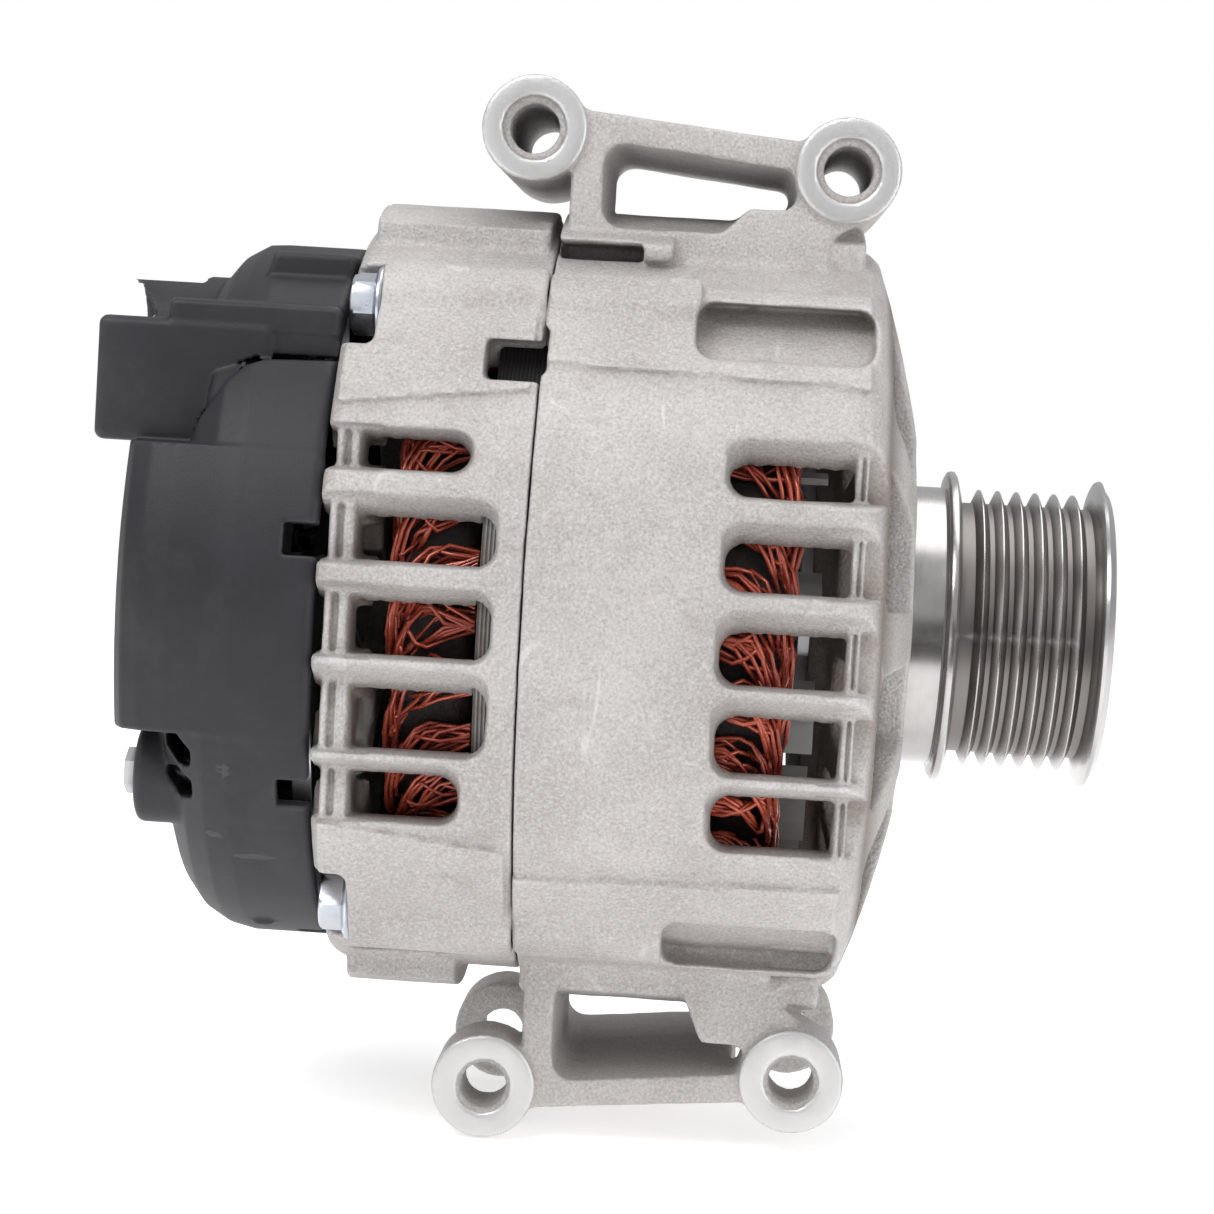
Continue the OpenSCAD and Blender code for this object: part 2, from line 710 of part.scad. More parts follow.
module brush(x) {
    difference() {
        box([x - brush_w / 2, -brush_depth / 2, 4.5], [x + brush_w / 2, brush_depth / 2, brush_top]);
        rod(slip_r + 0.1, -170, -120);
    }
}

module inner_brush() color("dimgray") brush(inner_ring_x);

module outer_brush() color("dimgray") brush(outer_ring_x);

module brush_spring(x) {
    translate([x, 0, brush_top + 0.05]) difference() {
        cylinder(r = 2.1, h = slot_roof - 0.1 - brush_top);
        translate([0, 0, -1]) cylinder(r = 1.5, h = 40);
    }
}

module inner_brush_spring() color("silver") brush_spring(inner_ring_x);

module outer_brush_spring() color("silver") brush_spring(outer_ring_x);

// Stud with a shoulder inside the cover and a hexagonal head behind the positive plate
module output_stud() color("silver") translate([0, stud_at[0], stud_at[1]]) {
    rod(stud_r, -165, -153);
    rod(stud_r + 0.45, -153, -131.9);
    prism(7, -131.9, -128.6, 6);
}

module connector_pins() color("darkgoldenrod")
    for (i = [0:3]) box([-160, -41 + i * 5.6, 36.4], [-146, -39 + i * 5.6, 37.2]);

// Outline of the cover's round part, set in by its wall when hollow
module cover_dome(set_in) {
    r = cover_r - set_in;
    turned([[0, cover_front_x + (set_in > 0 ? 1 : 0)], [r, cover_front_x + (set_in > 0 ? 1 : 0)],
        [r, -139], [r - 2, -145 + set_in * 0.6], [r - 6, -150 + set_in * 0.8], [r - 13, -153 + set_in],
        [r - 17, -153.6 + set_in], [0, -153.6 + set_in]]);
}

// The deep middle part, between two level faces
module cover_deep(set_in) {
    r = cover_r - set_in;
    x1 = cover_x + set_in;
    intersection() {
        turned([[0, cover_front_x], [r, cover_front_x], [r, -150], [r - 1.6, x1 + 3.6], [r - 4.4, x1 + 0.8],
            [r - 7, x1], [0, x1]]);
        box([x1, -r, slab_bottom + set_in], [cover_front_x, r, slab_top - set_in]);
    }
}

// Connector shroud, the steps that join it to the cover, and the output stud's collar
module cover_blocks() {
    box([-167.6, -47, slab_top - 0.4], [-136, -18, 49]);
    box([-155.4, -46, 48], [cover_front_x, -12, 52.6]);
    box([-142, -30, 50], [cover_front_x, 14, 62.4]);
    translate([0, stud_at[0], stud_at[1]]) intersection() {
        ring(11, 9.2, -168, -144);
        union() {
            box([-170, -7, -20], [-130, 20, 20]);
            box([-170, -20, -20], [-130, 20, 0]);
        }
    }
    translate([0, stud_at[0], stud_at[1]]) rod(9.6, -153, -146);
}

module rear_cover() color([0.17, 0.17, 0.19]) difference() {
    union() {
        cover_dome(0);
        cover_deep(0);
        cover_blocks();
        for (s = [-1, 1]) translate([0, s * cover_screw_at[0], cover_screw_at[1]]) rod(9, -157, -140);
    }
    difference() {
        union() {
            cover_dome(cover_wall);
            cover_deep(cover_wall);
            rod(cover_r - cover_wall, cover_front_x - 3, -100);
        }
        for (s = [-1, 1]) translate([0, s * cover_screw_at[0], cover_screw_at[1]]) rod(6, -157, -146);
    }
    box([-170, -44.6, slab_top + 1.6], [-150, -20.4, 46.6]);
    box([-153, -43, 31.5], [-138, -20.5, 43]);
    translate([0, stud_at[0], stud_at[1]]) rod(stud_r + 1.2, -160, -120);
    for (a = [11, 169, -29.5, -150.5, -75, -105]) at_angle(a)
        box([-130, -80, -2.8], [-120, -60, 2.8]);
    for (z = [0, 1]) translate([-148.4, -70, -24.8 - z * 5.6]) rotate([0, 18, 0])
        rotate([-90, 0, 0]) linear_extrude(height = 40) round_rect(4.6, 4.4, 1.4);
    for (s = [-1, 1]) translate([0, s * cover_screw_at[0], cover_screw_at[1]]) rod(2.4, -170, -120);
}

module cover_screws() color("lightsteelblue")
    for (s = [-1, 1]) translate([0, s * cover_screw_at[0], cover_screw_at[1]]) {
        rod(2.2, -157, -139);
        prism(4.2, -159.4, -157, 6);
    }

front_housing();
rear_housing();
through_bolts();
stator_core();
slot_liners();
stator_winding();
phase_leads();
rotor_shaft();
front_claw_pole();
rear_claw_pole();
field_coil();
coil_bobbin();
front_fan();
rear_fan();
slip_ring_carrier();
inner_slip_ring();
outer_slip_ring();
front_bearing_outer();
front_bearing_inner();
front_bearing_balls();
front_bearing_cage();
rear_bearing_outer();
rear_bearing_inner();
rear_bearing_balls();
rear_bearing_cage();
bearing_retainer();
retainer_screws();
bearing_sleeve();
pulley_rim();
pulley_hub();
pulley_rollers();
roller_cage();
front_bush();
rear_bush();
pulley_cap();
rectifier_plate_positive();
rectifier_plate_negative();
positive_diodes();
negative_diodes();
terminal_carrier();
rectifier_screws();
regulator();
inner_brush();
outer_brush();
inner_brush_spring();
outer_brush_spring();
output_stud();
connector_pins();
rear_cover();
cover_screws();
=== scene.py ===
import math
import random

import bpy
import numpy as np
import openvdb
from mathutils import Matrix, Vector


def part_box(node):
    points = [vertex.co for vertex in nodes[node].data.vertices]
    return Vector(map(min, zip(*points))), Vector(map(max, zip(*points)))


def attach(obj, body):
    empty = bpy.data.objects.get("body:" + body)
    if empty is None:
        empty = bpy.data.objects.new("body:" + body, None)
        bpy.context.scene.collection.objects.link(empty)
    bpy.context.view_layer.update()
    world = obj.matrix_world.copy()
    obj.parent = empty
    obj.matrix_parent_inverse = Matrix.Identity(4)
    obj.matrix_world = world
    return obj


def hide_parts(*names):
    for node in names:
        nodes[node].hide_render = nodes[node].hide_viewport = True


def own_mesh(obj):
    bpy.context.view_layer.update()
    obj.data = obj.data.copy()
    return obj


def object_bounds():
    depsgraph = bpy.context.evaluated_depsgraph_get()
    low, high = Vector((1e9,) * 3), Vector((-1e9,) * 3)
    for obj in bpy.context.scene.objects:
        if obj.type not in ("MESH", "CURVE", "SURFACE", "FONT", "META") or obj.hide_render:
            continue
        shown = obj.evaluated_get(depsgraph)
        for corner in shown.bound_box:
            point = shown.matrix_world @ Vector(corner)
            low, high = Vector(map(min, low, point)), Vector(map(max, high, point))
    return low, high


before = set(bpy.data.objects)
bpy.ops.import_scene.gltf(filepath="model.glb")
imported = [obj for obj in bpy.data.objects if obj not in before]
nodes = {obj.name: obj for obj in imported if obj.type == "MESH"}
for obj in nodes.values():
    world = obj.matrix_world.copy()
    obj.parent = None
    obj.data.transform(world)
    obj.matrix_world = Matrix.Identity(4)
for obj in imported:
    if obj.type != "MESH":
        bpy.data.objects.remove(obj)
cadLow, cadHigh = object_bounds()
print("frame loaded:", len(nodes), "nodes")

mm = 0.001


# Solids are signed distances on a grid, in millimetres, negative inside.

def softMin(a, b, k):
    if k <= 0:
        return np.minimum(a, b)
    return np.minimum(a, b) - np.maximum(k - np.abs(a - b), 0) ** 2 / (4 * k)


def roundJoin(a, b, edge):
    # intersection of two distances whose shared edge is rounded
    a, b = a + edge, b + edge
    return np.minimum(np.maximum(a, b), 0) + np.sqrt(np.maximum(a, 0) ** 2 + np.maximum(b, 0) ** 2) - edge


def roundedOutline(points, radius, steps=5):
    made, count = [], len(points)
    for i in range(count):
        p, q, r = (Vector(points[(i + k - 1) % count]) for k in range(3))
        a, b = p - q, r - q
        if min(a.length, b.length) < 1e-6 or a.angle(b) > math.pi - 0.05:
            made.append(tuple(q))  # no corner to round
            continue
        reach = min(radius / math.tan(a.angle(b) / 2), a.length * 0.45, b.length * 0.45)
        start, end = q + a.normalized() * reach, q + b.normalized() * reach
        for s in range(steps + 1):
            t = s / steps
            made.append(tuple(start.lerp(q, t).lerp(q.lerp(end, t), t)))
    return made


def outlineDistance(u, v, points):
    # signed distance to a closed outline on a grid, negative inside
    best = np.full(np.broadcast(u, v).shape, 1e9)
    inside = np.zeros(best.shape, bool)
    count = len(points)
    for i in range(count):
        (ax, ay), (bx, by) = points[i], points[(i + 1) % count]
        ex, ey = bx - ax, by - ay
        size = ex * ex + ey * ey
        if size < 1e-12:
            continue
        t = np.clip(((u - ax) * ex + (v - ay) * ey) / size, 0, 1)
        best = np.minimum(best, (u - ax - ex * t) ** 2 + (v - ay - ey * t) ** 2)
        if ay != by:
            inside ^= ((ay > v) != (by > v)) & (u < (bx - ax) * (v - ay) / (by - ay) + ax)
    best = np.sqrt(best)
    return np.where(inside, -best, best)


def ripple(x, y, z, size, seed):
    # slow unevenness of a cast surface, about -1 to 1
    rng = random.Random(seed)
    total = 0
    for i in range(4):
        d = Vector([rng.uniform(-1, 1) for axis in range(3)]).normalized() * (2 * math.pi / size)
        d *= rng.uniform(0.7, 1.5)
        total = total + np.sin(x * d.x + y * d.y + z * d.z + rng.uniform(0, 6.28)) * 0.3
    return total


class Solid:
    def __init__(self, low, high, step):
        self.low, self.step = np.array(low, float), step
        self.counts = np.ceil((np.array(high, float) - self.low) / step).astype(int) + 1
        self.values = np.full(self.counts, 6.0, np.float32)

    def part(self, low, high, pad):
        a = np.clip(np.floor((np.array(low, float) - pad - self.low) / self.step).astype(int), 0, self.counts)
        b = np.clip(np.ceil((np.array(high, float) + pad - self.low) / self.step).astype(int) + 1, 0,
                    self.counts)
        lines = [(self.low[k] + self.step * np.arange(a[k], b[k])).astype(np.float32) for k in range(3)]
        return (tuple(slice(i, j) for i, j in zip(a, b)), lines[0][:, None, None], lines[1][None, :, None],
                lines[2][None, None, :])

    def add(self, shape, blend=0.0, sign=1):
        form, low, high = shape
        where, x, y, z = self.part(low, high, 3 + blend)
        if min(x.size, y.size, z.size):
            self.values[where] = sign * softMin(sign * self.values[where], form(x, y, z), blend)

    def cut(self, shape, blend=0.0):
        self.add(shape, blend, -1)

    def roughen(self, *waves):
        # each wave is its height, length and seed
        lines = [(self.low[k] + self.step * np.arange(self.counts[k])).astype(np.float32) for k in range(3)]
        x, y, z = lines[0][:, None, None], lines[1][None, :, None], lines[2][None, None, :]
        self.values += sum(height * ripple(x, y, z, size, seed) for height, size, seed in waves)

    def mesh(self, name, triangles):
        grid = openvdb.FloatGrid(6.0)
        grid.copyFromArray(np.ascontiguousarray(np.clip(self.values, -6, 6)), tolerance=0.0)
        points, quads = grid.convertToQuads(0)
        mesh = bpy.data.meshes.new(name)
        mesh.vertices.add(len(points))
        places = np.clip((points * self.step + self.low) * mm, np.array(cadLow), np.array(cadHigh))
        mesh.vertices.foreach_set("co", places.astype(np.float32).ravel())
        mesh.loops.add(quads.size)
        mesh.loops.foreach_set("vertex_index", quads.astype(np.int32).ravel())
        mesh.polygons.add(len(quads))
        mesh.polygons.foreach_set("loop_start", np.arange(0, quads.size, 4, dtype=np.int32))
        mesh.update(calc_edges=True)
        piece = placed(name, mesh)
        if len(quads) * 2 > triangles:
            thin = piece.modifiers.new("thin", "DECIMATE")
            thin.ratio = triangles / (len(quads) * 2)
            applyModifiers(piece)
        smoothShade(piece)
        print("solid", name, len(quads), "quads to", len(piece.data.polygons), "faces")
        return piece


def union(*shapes):
    def form(x, y, z):
        value = shapes[0][0](x, y, z)
        for s in shapes[1:]:
            value = np.minimum(value, s[0](x, y, z))
        return value
    return form, np.min([s[1] for s in shapes], 0), np.max([s[2] for s in shapes], 0)


def common(first, *others):
    def form(x, y, z):
        value = first[0](x, y, z)
        for s in others:
            value = np.maximum(value, s[0](x, y, z))
        return value
    return form, first[1], first[2]


def without(first, *others):
    def form(x, y, z):
        value = first[0](x, y, z)
        for s in others:
            value = np.maximum(value, -s[0](x, y, z))
        return value
    return form, first[1], first[2]


def block(low, high, edge=0.6):
    low, high = [min(a, b) for a, b in zip(low, high)], [max(a, b) for a, b in zip(low, high)]
    mid = [(a + b) / 2 for a, b in zip(low, high)]
    half = [(b - a) / 2 - edge for a, b in zip(low, high)]

    def form(x, y, z):
        d = [np.abs(v - m) - h for v, m, h in zip((x, y, z), mid, half)]
        outer = np.sqrt(sum(np.maximum(v, 0) ** 2 for v in d))
        return outer + np.minimum(np.maximum(np.maximum(d[0], d[1]), d[2]), 0) - edge
    return form, low, high


def rod(axis, centre, radius, start, end, edge=0.5):
    # round bar along x or y; centre is in the other two axes
    mid, half = (start + end) / 2, (end - start) / 2

    def form(x, y, z):
        if axis == "x":
            return roundJoin(np.sqrt((y - centre[0]) ** 2 + (z - centre[1]) ** 2) - radius,
                             np.abs(x - mid) - half, edge)
        return roundJoin(np.sqrt((x - centre[0]) ** 2 + (z - centre[1]) ** 2) - radius,
                         np.abs(y - mid) - half, edge)
    a, b = [c - radius for c in centre], [c + radius for c in centre]
    if axis == "x":
        return form, [start, a[0], a[1]], [end, b[0], b[1]]
    return form, [a[0], start, a[1]], [b[0], end, b[1]]


def sheetShape(points, start, end, edge=0.6, corner=0.0, draft=0.0):
    # outline in x and z, drawn out along y; draft opens it away from the middle
    if corner:
        points = roundedOutline(points, corner)
    xs, zs = [p[0] for p in points], [p[1] for p in points]
    mid, half = (start + end) / 2, (end - start) / 2

    def form(x, y, z):
        flat = outlineDistance(x[:, 0, :], z[:, 0, :], points).astype(np.float32)[:, None, :]
        return roundJoin(flat - draft * np.abs(y - mid), np.abs(y - mid) - half, edge)
    grow = draft * half
    return form, [min(xs) - grow, start, min(zs) - grow], [max(xs) + grow, end, max(zs) + grow]


def turned(points, corner=0.4):
    # closed outline of (radius, x) turned about the shaft axis
    points = roundedOutline(points, corner) if corner else points
    rs, xs = [p[0] for p in points], [p[1] for p in points]
    steps = np.arange(0, 110, 0.4)

    def form(x, y, z):
        across = np.sqrt(y * y + z * z)[0]
        made = np.empty((x.shape[0],) + across.shape, np.float32)
        for i, at in enumerate(x[:, 0, 0]):
            made[i] = np.interp(across, steps, outlineDistance(steps, np.full_like(steps, at), points))
        return made
    far = max(rs)
    return form, [min(xs), -far, -far], [max(xs), far, far]


def spun(shape, degrees):
    # turns a shape about the shaft axis
    form, low, high = shape
    c, s = math.cos(math.radians(degrees)), math.sin(math.radians(degrees))
    corners = [(y * c - z * s, y * s + z * c) for y in (low[1], high[1]) for z in (low[2], high[2])]
    ys, zs = [p[0] for p in corners], [p[1] for p in corners]
    return (lambda x, y, z: form(x, y * c + z * s, z * c - y * s)), [low[0], min(ys),
                                                                     min(zs)], [high[0], max(ys), max(zs)]


def sideWindow(x0, x1, topOut, topIn, bottom, depth, side, radius=70.0, corner=3.6, rough=0.22, seed=1,
               square=0):
    # opening through the side wall: level lower wall, upper wall that drops as it goes in
    middle = (topOut + bottom) / 2
    face = math.sqrt(radius ** 2 - middle ** 2)
    mid, half = (x0 + x1) / 2, (x1 - x0) / 2

    def form(x, y, z):
        inward = face - y * side
        t = np.clip(inward / 8.2, -0.3, 1.3)
        ragged = rough * np.clip(t - 0.55, 0,
                                 1) * (np.sin(x * 1.9 + seed) + 0.6 * np.sin(x * 4.1 + seed * 2.3))
        top = topOut + (topIn - topOut) * t + ragged
        low = bottom + 0.03 * inward  # draft
        h, c = (top - low) / 2, (top + low) / 2
        bend = np.where((x - mid) * square > 0, 0.7, corner)
        u, v = np.abs(x - mid) - (half + 0.6 - 1.0 * np.clip(t, 0, 1)) + bend, np.abs(z - c) - h + bend
        flat = np.minimum(np.maximum(u, v), 0) + np.sqrt(np.maximum(u, 0) ** 2 + np.maximum(v, 0) ** 2) - bend
        return np.maximum(flat, inward - depth)
    ys = sorted((side * (face - depth), side * (radius + 4)))
    return form, [x0 - 1, ys[0], min(bottom, topIn) - 1], [x1 + 1, ys[1], topOut + 3]


# Mesh helpers shared by the pieces.

def placed(name, data):
    piece = bpy.data.objects.new(name, data)
    bpy.context.scene.collection.objects.link(piece)
    return piece


def madeMesh(piece):
    graph = bpy.context.evaluated_depsgraph_get()
    return bpy.data.meshes.new_from_object(piece.evaluated_get(graph), depsgraph=graph)


def applyModifiers(piece):
    made, old = madeMesh(piece), piece.data
    piece.modifiers.clear()
    piece.data = made
    bpy.data.meshes.remove(old)


def smoothShade(piece, angle=None):
    piece.data.polygons.foreach_set("use_smooth", [True] * len(piece.data.polygons))
    if angle is not None:
        piece.data.set_sharp_from_angle(angle=math.radians(angle))
    piece.data.update()


def meshPiece(name, points, faces, angle=35):
    mesh = bpy.data.meshes.new(name)
    mesh.from_pydata([(x * mm, y * mm, z * mm) for x, y, z in points], [], faces)
    mesh.update()
    piece = placed(name, mesh)
    smoothShade(piece, angle)
    return piece


def latheMesh(profile, sides, centre=(0, 0)):
    # closed profile of (x, radius) turned about a line along x
    points, faces, count = [], [], len(profile)
    for x, r in profile:
        for s in range(sides):
            a = 2 * math.pi * s / sides
            points.append((x, centre[0] + r * math.cos(a), centre[1] + r * math.sin(a)))
    for i in range(count):
        j = (i + 1) % count
        for s in range(sides):
            t = (s + 1) % sides
            faces.append((i * sides + s, i * sides + t, j * sides + t, j * sides + s))
    return points, faces


def finishPiece(piece, body, material, slot, *replaced):
    piece.data.materials.clear()
    piece.data.materials.append(material)
    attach(piece, body)
    if replaced:
        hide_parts(*replaced)
    return piece


# Materials are procedural; their numbers are in metres.

class Value:
    # a shader socket that can be used in sums
    def __init__(self, shader, socket):
        self.shader, self.socket = shader, socket

    def sum(self, operation, *others, clamp=False):
        values = {i: (o.socket if isinstance(o, Value) else o) for i, o in enumerate(others)}
        return self.shader.node("ShaderNodeMath", {"operation": operation, "use_clamp": clamp}, values)

    def clip(self):
        return self.sum("ADD", self, 0, clamp=True)

    def ramp(self, low, high):
        return ((self - low) / (high - low)).clip()


for method, operation in (("add", "ADD"), ("sub", "SUBTRACT"), ("mul", "MULTIPLY"), ("truediv", "DIVIDE"),
                          ("pow", "POWER")):
    setattr(Value, f"__{method}__", lambda self, other, o=operation: self.sum(o, self, other))
    setattr(Value, f"__r{method}__", lambda self, other, o=operation: self.sum(o, other, self))
for method, operation in (("__abs__", "ABSOLUTE"), ("sin", "SINE"), ("above", "GREATER_THAN"),
                          ("most", "MAXIMUM")):
    setattr(Value, method, lambda self, *others, o=operation: self.sum(o, self, *others))


class Finish:
    # one material; its surface node is made with the fixed values and fed the varying ones
    def __init__(self, name):
        self.material = bpy.data.materials.new(name)
        self.material.use_nodes = True
        self.tree = self.material.node_tree
        self.tree.nodes.clear()
        self.place = self.node("ShaderNodeTexCoord", {}, {}, "Object")

    def node(self, kind, settings, values, output=0):
        made = self.tree.nodes.new(kind)
        for key, value in settings.items():
            setattr(made, key, value)
        for key, value in values.items():
            self.feed(made.inputs[key], value)
        return Value(self, made.outputs[output])

    def feed(self, socket, value):
        if isinstance(value, Value):
            value = value.socket
        if isinstance(value, bpy.types.NodeSocket):
            self.tree.links.new(value, socket)
        elif isinstance(value, tuple) and len(value) == 3 and socket.type == "RGBA":
            socket.default_value = (*value, 1)
        else:
            socket.default_value = value

    def noise(self, scale, detail=3.0, roughness=0.55, stretch=(1, 1, 1), distortion=0.0):
        vector = self.place
        if stretch != (1, 1, 1):
            vector = self.node("ShaderNodeMapping", {}, {"Vector": vector, "Scale": stretch})
        return self.node("ShaderNodeTexNoise", {}, {"Vector": vector, "Scale": scale, "Detail": detail,
                         "Roughness": roughness, "Distortion": distortion}, "Fac")

    def cells(self, scale):
        return self.node("ShaderNodeTexVoronoi", {}, {"Vector": self.place, "Scale": scale}, "Distance")

    def axes(self):
        split = self.node("ShaderNodeSeparateXYZ", {}, {"Vector": self.place})
        return [Value(self, split.socket.node.outputs[i]) for i in range(3)]

    def mix(self, factor, a, b):
        made = self.tree.nodes.new("ShaderNodeMix")
        made.data_type = "RGBA"
        self.feed(made.inputs["Factor"], factor)
        colours = [s for s in made.inputs if s.type == "RGBA"]
        self.feed(colours[0], a)
        self.feed(colours[1], b)
        return Value(self, [s for s in made.outputs if s.type == "RGBA"][0])

    def bump(self, height, distance, strength=1.0):
        return self.node("ShaderNodeBump", {}, {"Height": height, "Distance": distance, "Strength": strength})

    def pointiness(self):
        return self.node("ShaderNodeNewGeometry", {}, {}, "Pointiness")

    def surface(self, **values):
        names = {"colour": "Base Color", "rough": "Roughness", "metal": "Metallic", "normal": "Normal",
                 "coat": "Coat Weight", "coatRough": "Coat Roughness",
                 "specular": "Specular IOR Level", "glow": "Emission Color", "glowLevel": "Emission Strength"}
        shader = self.node("ShaderNodeBsdfPrincipled", {}, {names[k]: v for k, v in values.items()})
        end = self.tree.nodes.new("ShaderNodeOutputMaterial")
        self.tree.links.new(shader.socket, end.inputs["Surface"])
        return self.material


# shade is the painted shade colour used inside the windows and in the hollows
castLook = {"light": (0.515, 0.488, 0.472), "dark": (0.395, 0.37, 0.357), "spark": (0.74, 0.73, 0.72),
            "stain": (0.23, 0.195, 0.165), "shade": (0.16, 0.125, 0.10), "metal": 0.30, "rough": 0.62,
            "grain": 1700,
            "machined": (0.66, 0.655, 0.65)}


def castAluminium():
    f = Finish("castAluminium")
    x, y, z = f.axes()
    grain = f.noise(castLook["grain"], 3, 0.7)
    blasted = f.cells(castLook["grain"] * 0.9)
    clouds = f.noise(38, 5, 0.62)
    smears = f.noise(120, 3, 0.6, (0.5, 1, 1), 0.4)
    colour = f.mix(clouds.ramp(0.3, 0.7), castLook["dark"], castLook["light"])
    colour = f.mix(grain.ramp(0.48, 0.72) * 0.5, colour, castLook["spark"])
    colour = f.mix((0.46 - grain).ramp(0, 0.16) * 0.42, colour, castLook["stain"])
    colour = f.mix(smears.ramp(0.55, 0.75) * 0.25, colour, castLook["stain"])
    # darker brown painted shade inside the windows, bright rubbed edges, faint scratches on the band
    inward = (0.0655 - (y * y + z * z) ** 0.5).ramp(0, 0.0035) * (-0.024 - x).ramp(0, 0.003)
    colour = f.mix(inward * 0.75, colour, castLook["shade"])
    edge = f.pointiness().ramp(0.52, 0.60)
    colour = f.mix(edge * 0.55, colour, (0.72, 0.72, 0.71))
    # painted shade: hollows and creases are darkened towards the shade colour
    hollowShade = (0.485 - f.pointiness()).ramp(0, 0.05)
    colour = f.mix(hollowShade * 0.35, colour, castLook["shade"])
    streaks = f.noise(26, 2, 0.4, (1.6, 1, 0.5), 1.2)
    scratch = (0.012 - abs(streaks - 0.5)).ramp(0, 0.006) * f.noise(75, 1).ramp(0.6, 0.7)
    colour = f.mix(scratch * 0.35, colour, castLook["spark"])
    nearFace, farFace = ((0.0004 - abs(y - at)).ramp(0, 0.0002) for at in (-0.028, 0.036))
    face = nearFace.most(farFace) * abs(z).above(0.0733)  # the bosses' machined ends
    turning = f.noise(5000, 2, 0.5, (1, 0.02, 0.3)) * face
    colour = f.mix(face * 0.9, colour, castLook["machined"])
    rough = castLook["rough"] + (grain - 0.5) * 0.2 - face * 0.2
    height = (grain * 0.9 + blasted * 0.5 + clouds * 1.2) * (1 - face) + turning * 0.15
    metal = castLook["metal"] + face * 0.5
    return f.surface(colour=colour, rough=rough, metal=metal, normal=f.bump(height, 0.00030, 0.8),
                     specular=0.4)


coverLook = {"colour": (0.014, 0.014, 0.017), "light": (0.021, 0.021, 0.025), "worn": (0.055, 0.055, 0.062),
             "dust": (0.26, 0.24, 0.22), "rough": 0.5}


def satinBlack():
    f = Finish("satinBlack")
    grain = f.noise(2600, 2, 0.5)
    clouds = f.noise(60, 3, 0.6)
    colour = f.mix(clouds.ramp(0.35, 0.7), coverLook["colour"], coverLook["light"])
    colour = f.mix(f.pointiness().ramp(0.51, 0.57) * 0.7, colour, coverLook["worn"])
    specks = (0.012 - f.cells(260)).ramp(0, 0.006) * f.noise(30, 1).ramp(0.45, 0.7)
    haze = f.noise(38, 5, 0.7).ramp(0.50, 0.78) * 0.07
    colour = f.mix((specks * 0.5 + haze).clip(), colour, coverLook["dust"])
    rough = coverLook["rough"] + (clouds - 0.5) * 0.2
    return f.surface(colour=colour, rough=rough, normal=f.bump(grain, 0.00006, 0.6), specular=0.38)


def steel(name, light, dark, rough=0.28, metal=1.0, lines="x", lineScale=4000, tint=None, wear=0.0):
    # lines "x" gives fine turning lines round the shaft, anything else plain grain
    f = Finish(name)
    clouds = f.noise(120, 4, 0.6)
    fine = f.noise(2200, 3, 0.6)
    colour = f.mix(clouds.ramp(0.3, 0.75), dark, light)
    height = fine * 0.4
    if lines == "x":
        turning = f.noise(lineScale, 2, 0.5, (1, 0.01, 0.01))
        height = height + turning
        colour = f.mix(turning * 0.3, colour, dark)
    if tint:
        colour = f.mix(f.noise(80, 2).ramp(0.45, 0.7) * 0.5, colour, tint)
    if wear:
        colour = f.mix(f.pointiness().ramp(0.52, 0.6) * wear, colour, (0.9, 0.9, 0.9))
    roughness = rough + (clouds - 0.5) * 0.18
    return f.surface(colour=colour, rough=roughness, metal=metal, normal=f.bump(height, 0.00004, 0.5))


def laminated():
    f = Finish("laminatedCore")
    x, y, z = f.axes()
    sheets = ((x * (2 * math.pi / 0.0007)).sin() * 0.5 + 0.5)
    grime = f.noise(180, 4, 0.65)
    colour = f.mix(sheets, (0.13, 0.125, 0.125), (0.30, 0.295, 0.29))
    colour = f.mix(grime.ramp(0.5, 0.75) * 0.6, colour, (0.16, 0.10, 0.07))
    # painted shade: the core's top and bottom, beyond 40 mm in z, go near black
    colour = f.mix((abs(z) - 0.040).ramp(0, 0.001) * 0.9, colour, (0.012, 0.012, 0.013))
    return f.surface(colour=colour, rough=0.45 + grime * 0.2, metal=0.75,
                     normal=f.bump(sheets + grime * 0.4, 0.0002, 0.7))


wireLook = {"light": (0.62, 0.12, 0.065), "dark": (0.27, 0.036, 0.02), "rough": 0.2}


def enamel():
    f = Finish("enamelledCopper")
    strand = f.noise(140, 3, 0.6)
    fine = f.noise(900, 2, 0.5)
    colour = f.mix(strand.ramp(0.3, 0.7), wireLook["dark"], wireLook["light"])
    colour = f.mix((fine.ramp(0.6, 0.8)) * 0.25, colour, (0.58, 0.20, 0.10))
    return f.surface(colour=colour, rough=wireLook["rough"] + fine * 0.15, metal=0.35, coat=0.7,
                     coatRough=0.12,
                     normal=f.bump(fine, 0.0001, 0.4))


def moulded(name, light, dark, rough=0.5, scale=900, fibre=0.0):
    f = Finish(name)
    clouds = f.noise(90, 4, 0.6)
    grain = f.noise(scale, 3, 0.6)
    colour = f.mix(clouds.ramp(0.3, 0.7), dark, light)
    if fibre:
        threads = f.noise(scale, 3, 0.6, (1, 6, 6))
        colour = f.mix(threads.ramp(0.5, 0.75) * fibre, colour, light)
    return f.surface(colour=colour, rough=rough + (grain - 0.5) * 0.2, normal=f.bump(grain, 0.00006, 0.5))


def pressedCarbon():
    f = Finish("pressedCarbon")
    grain = f.noise(1800, 4, 0.7)
    colour = f.mix(grain.ramp(0.4, 0.7), (0.035, 0.035, 0.036), (0.12, 0.12, 0.12))
    return f.surface(colour=colour, rough=0.5 + grain * 0.15, metal=0.2, normal=f.bump(grain, 0.0001, 0.5))


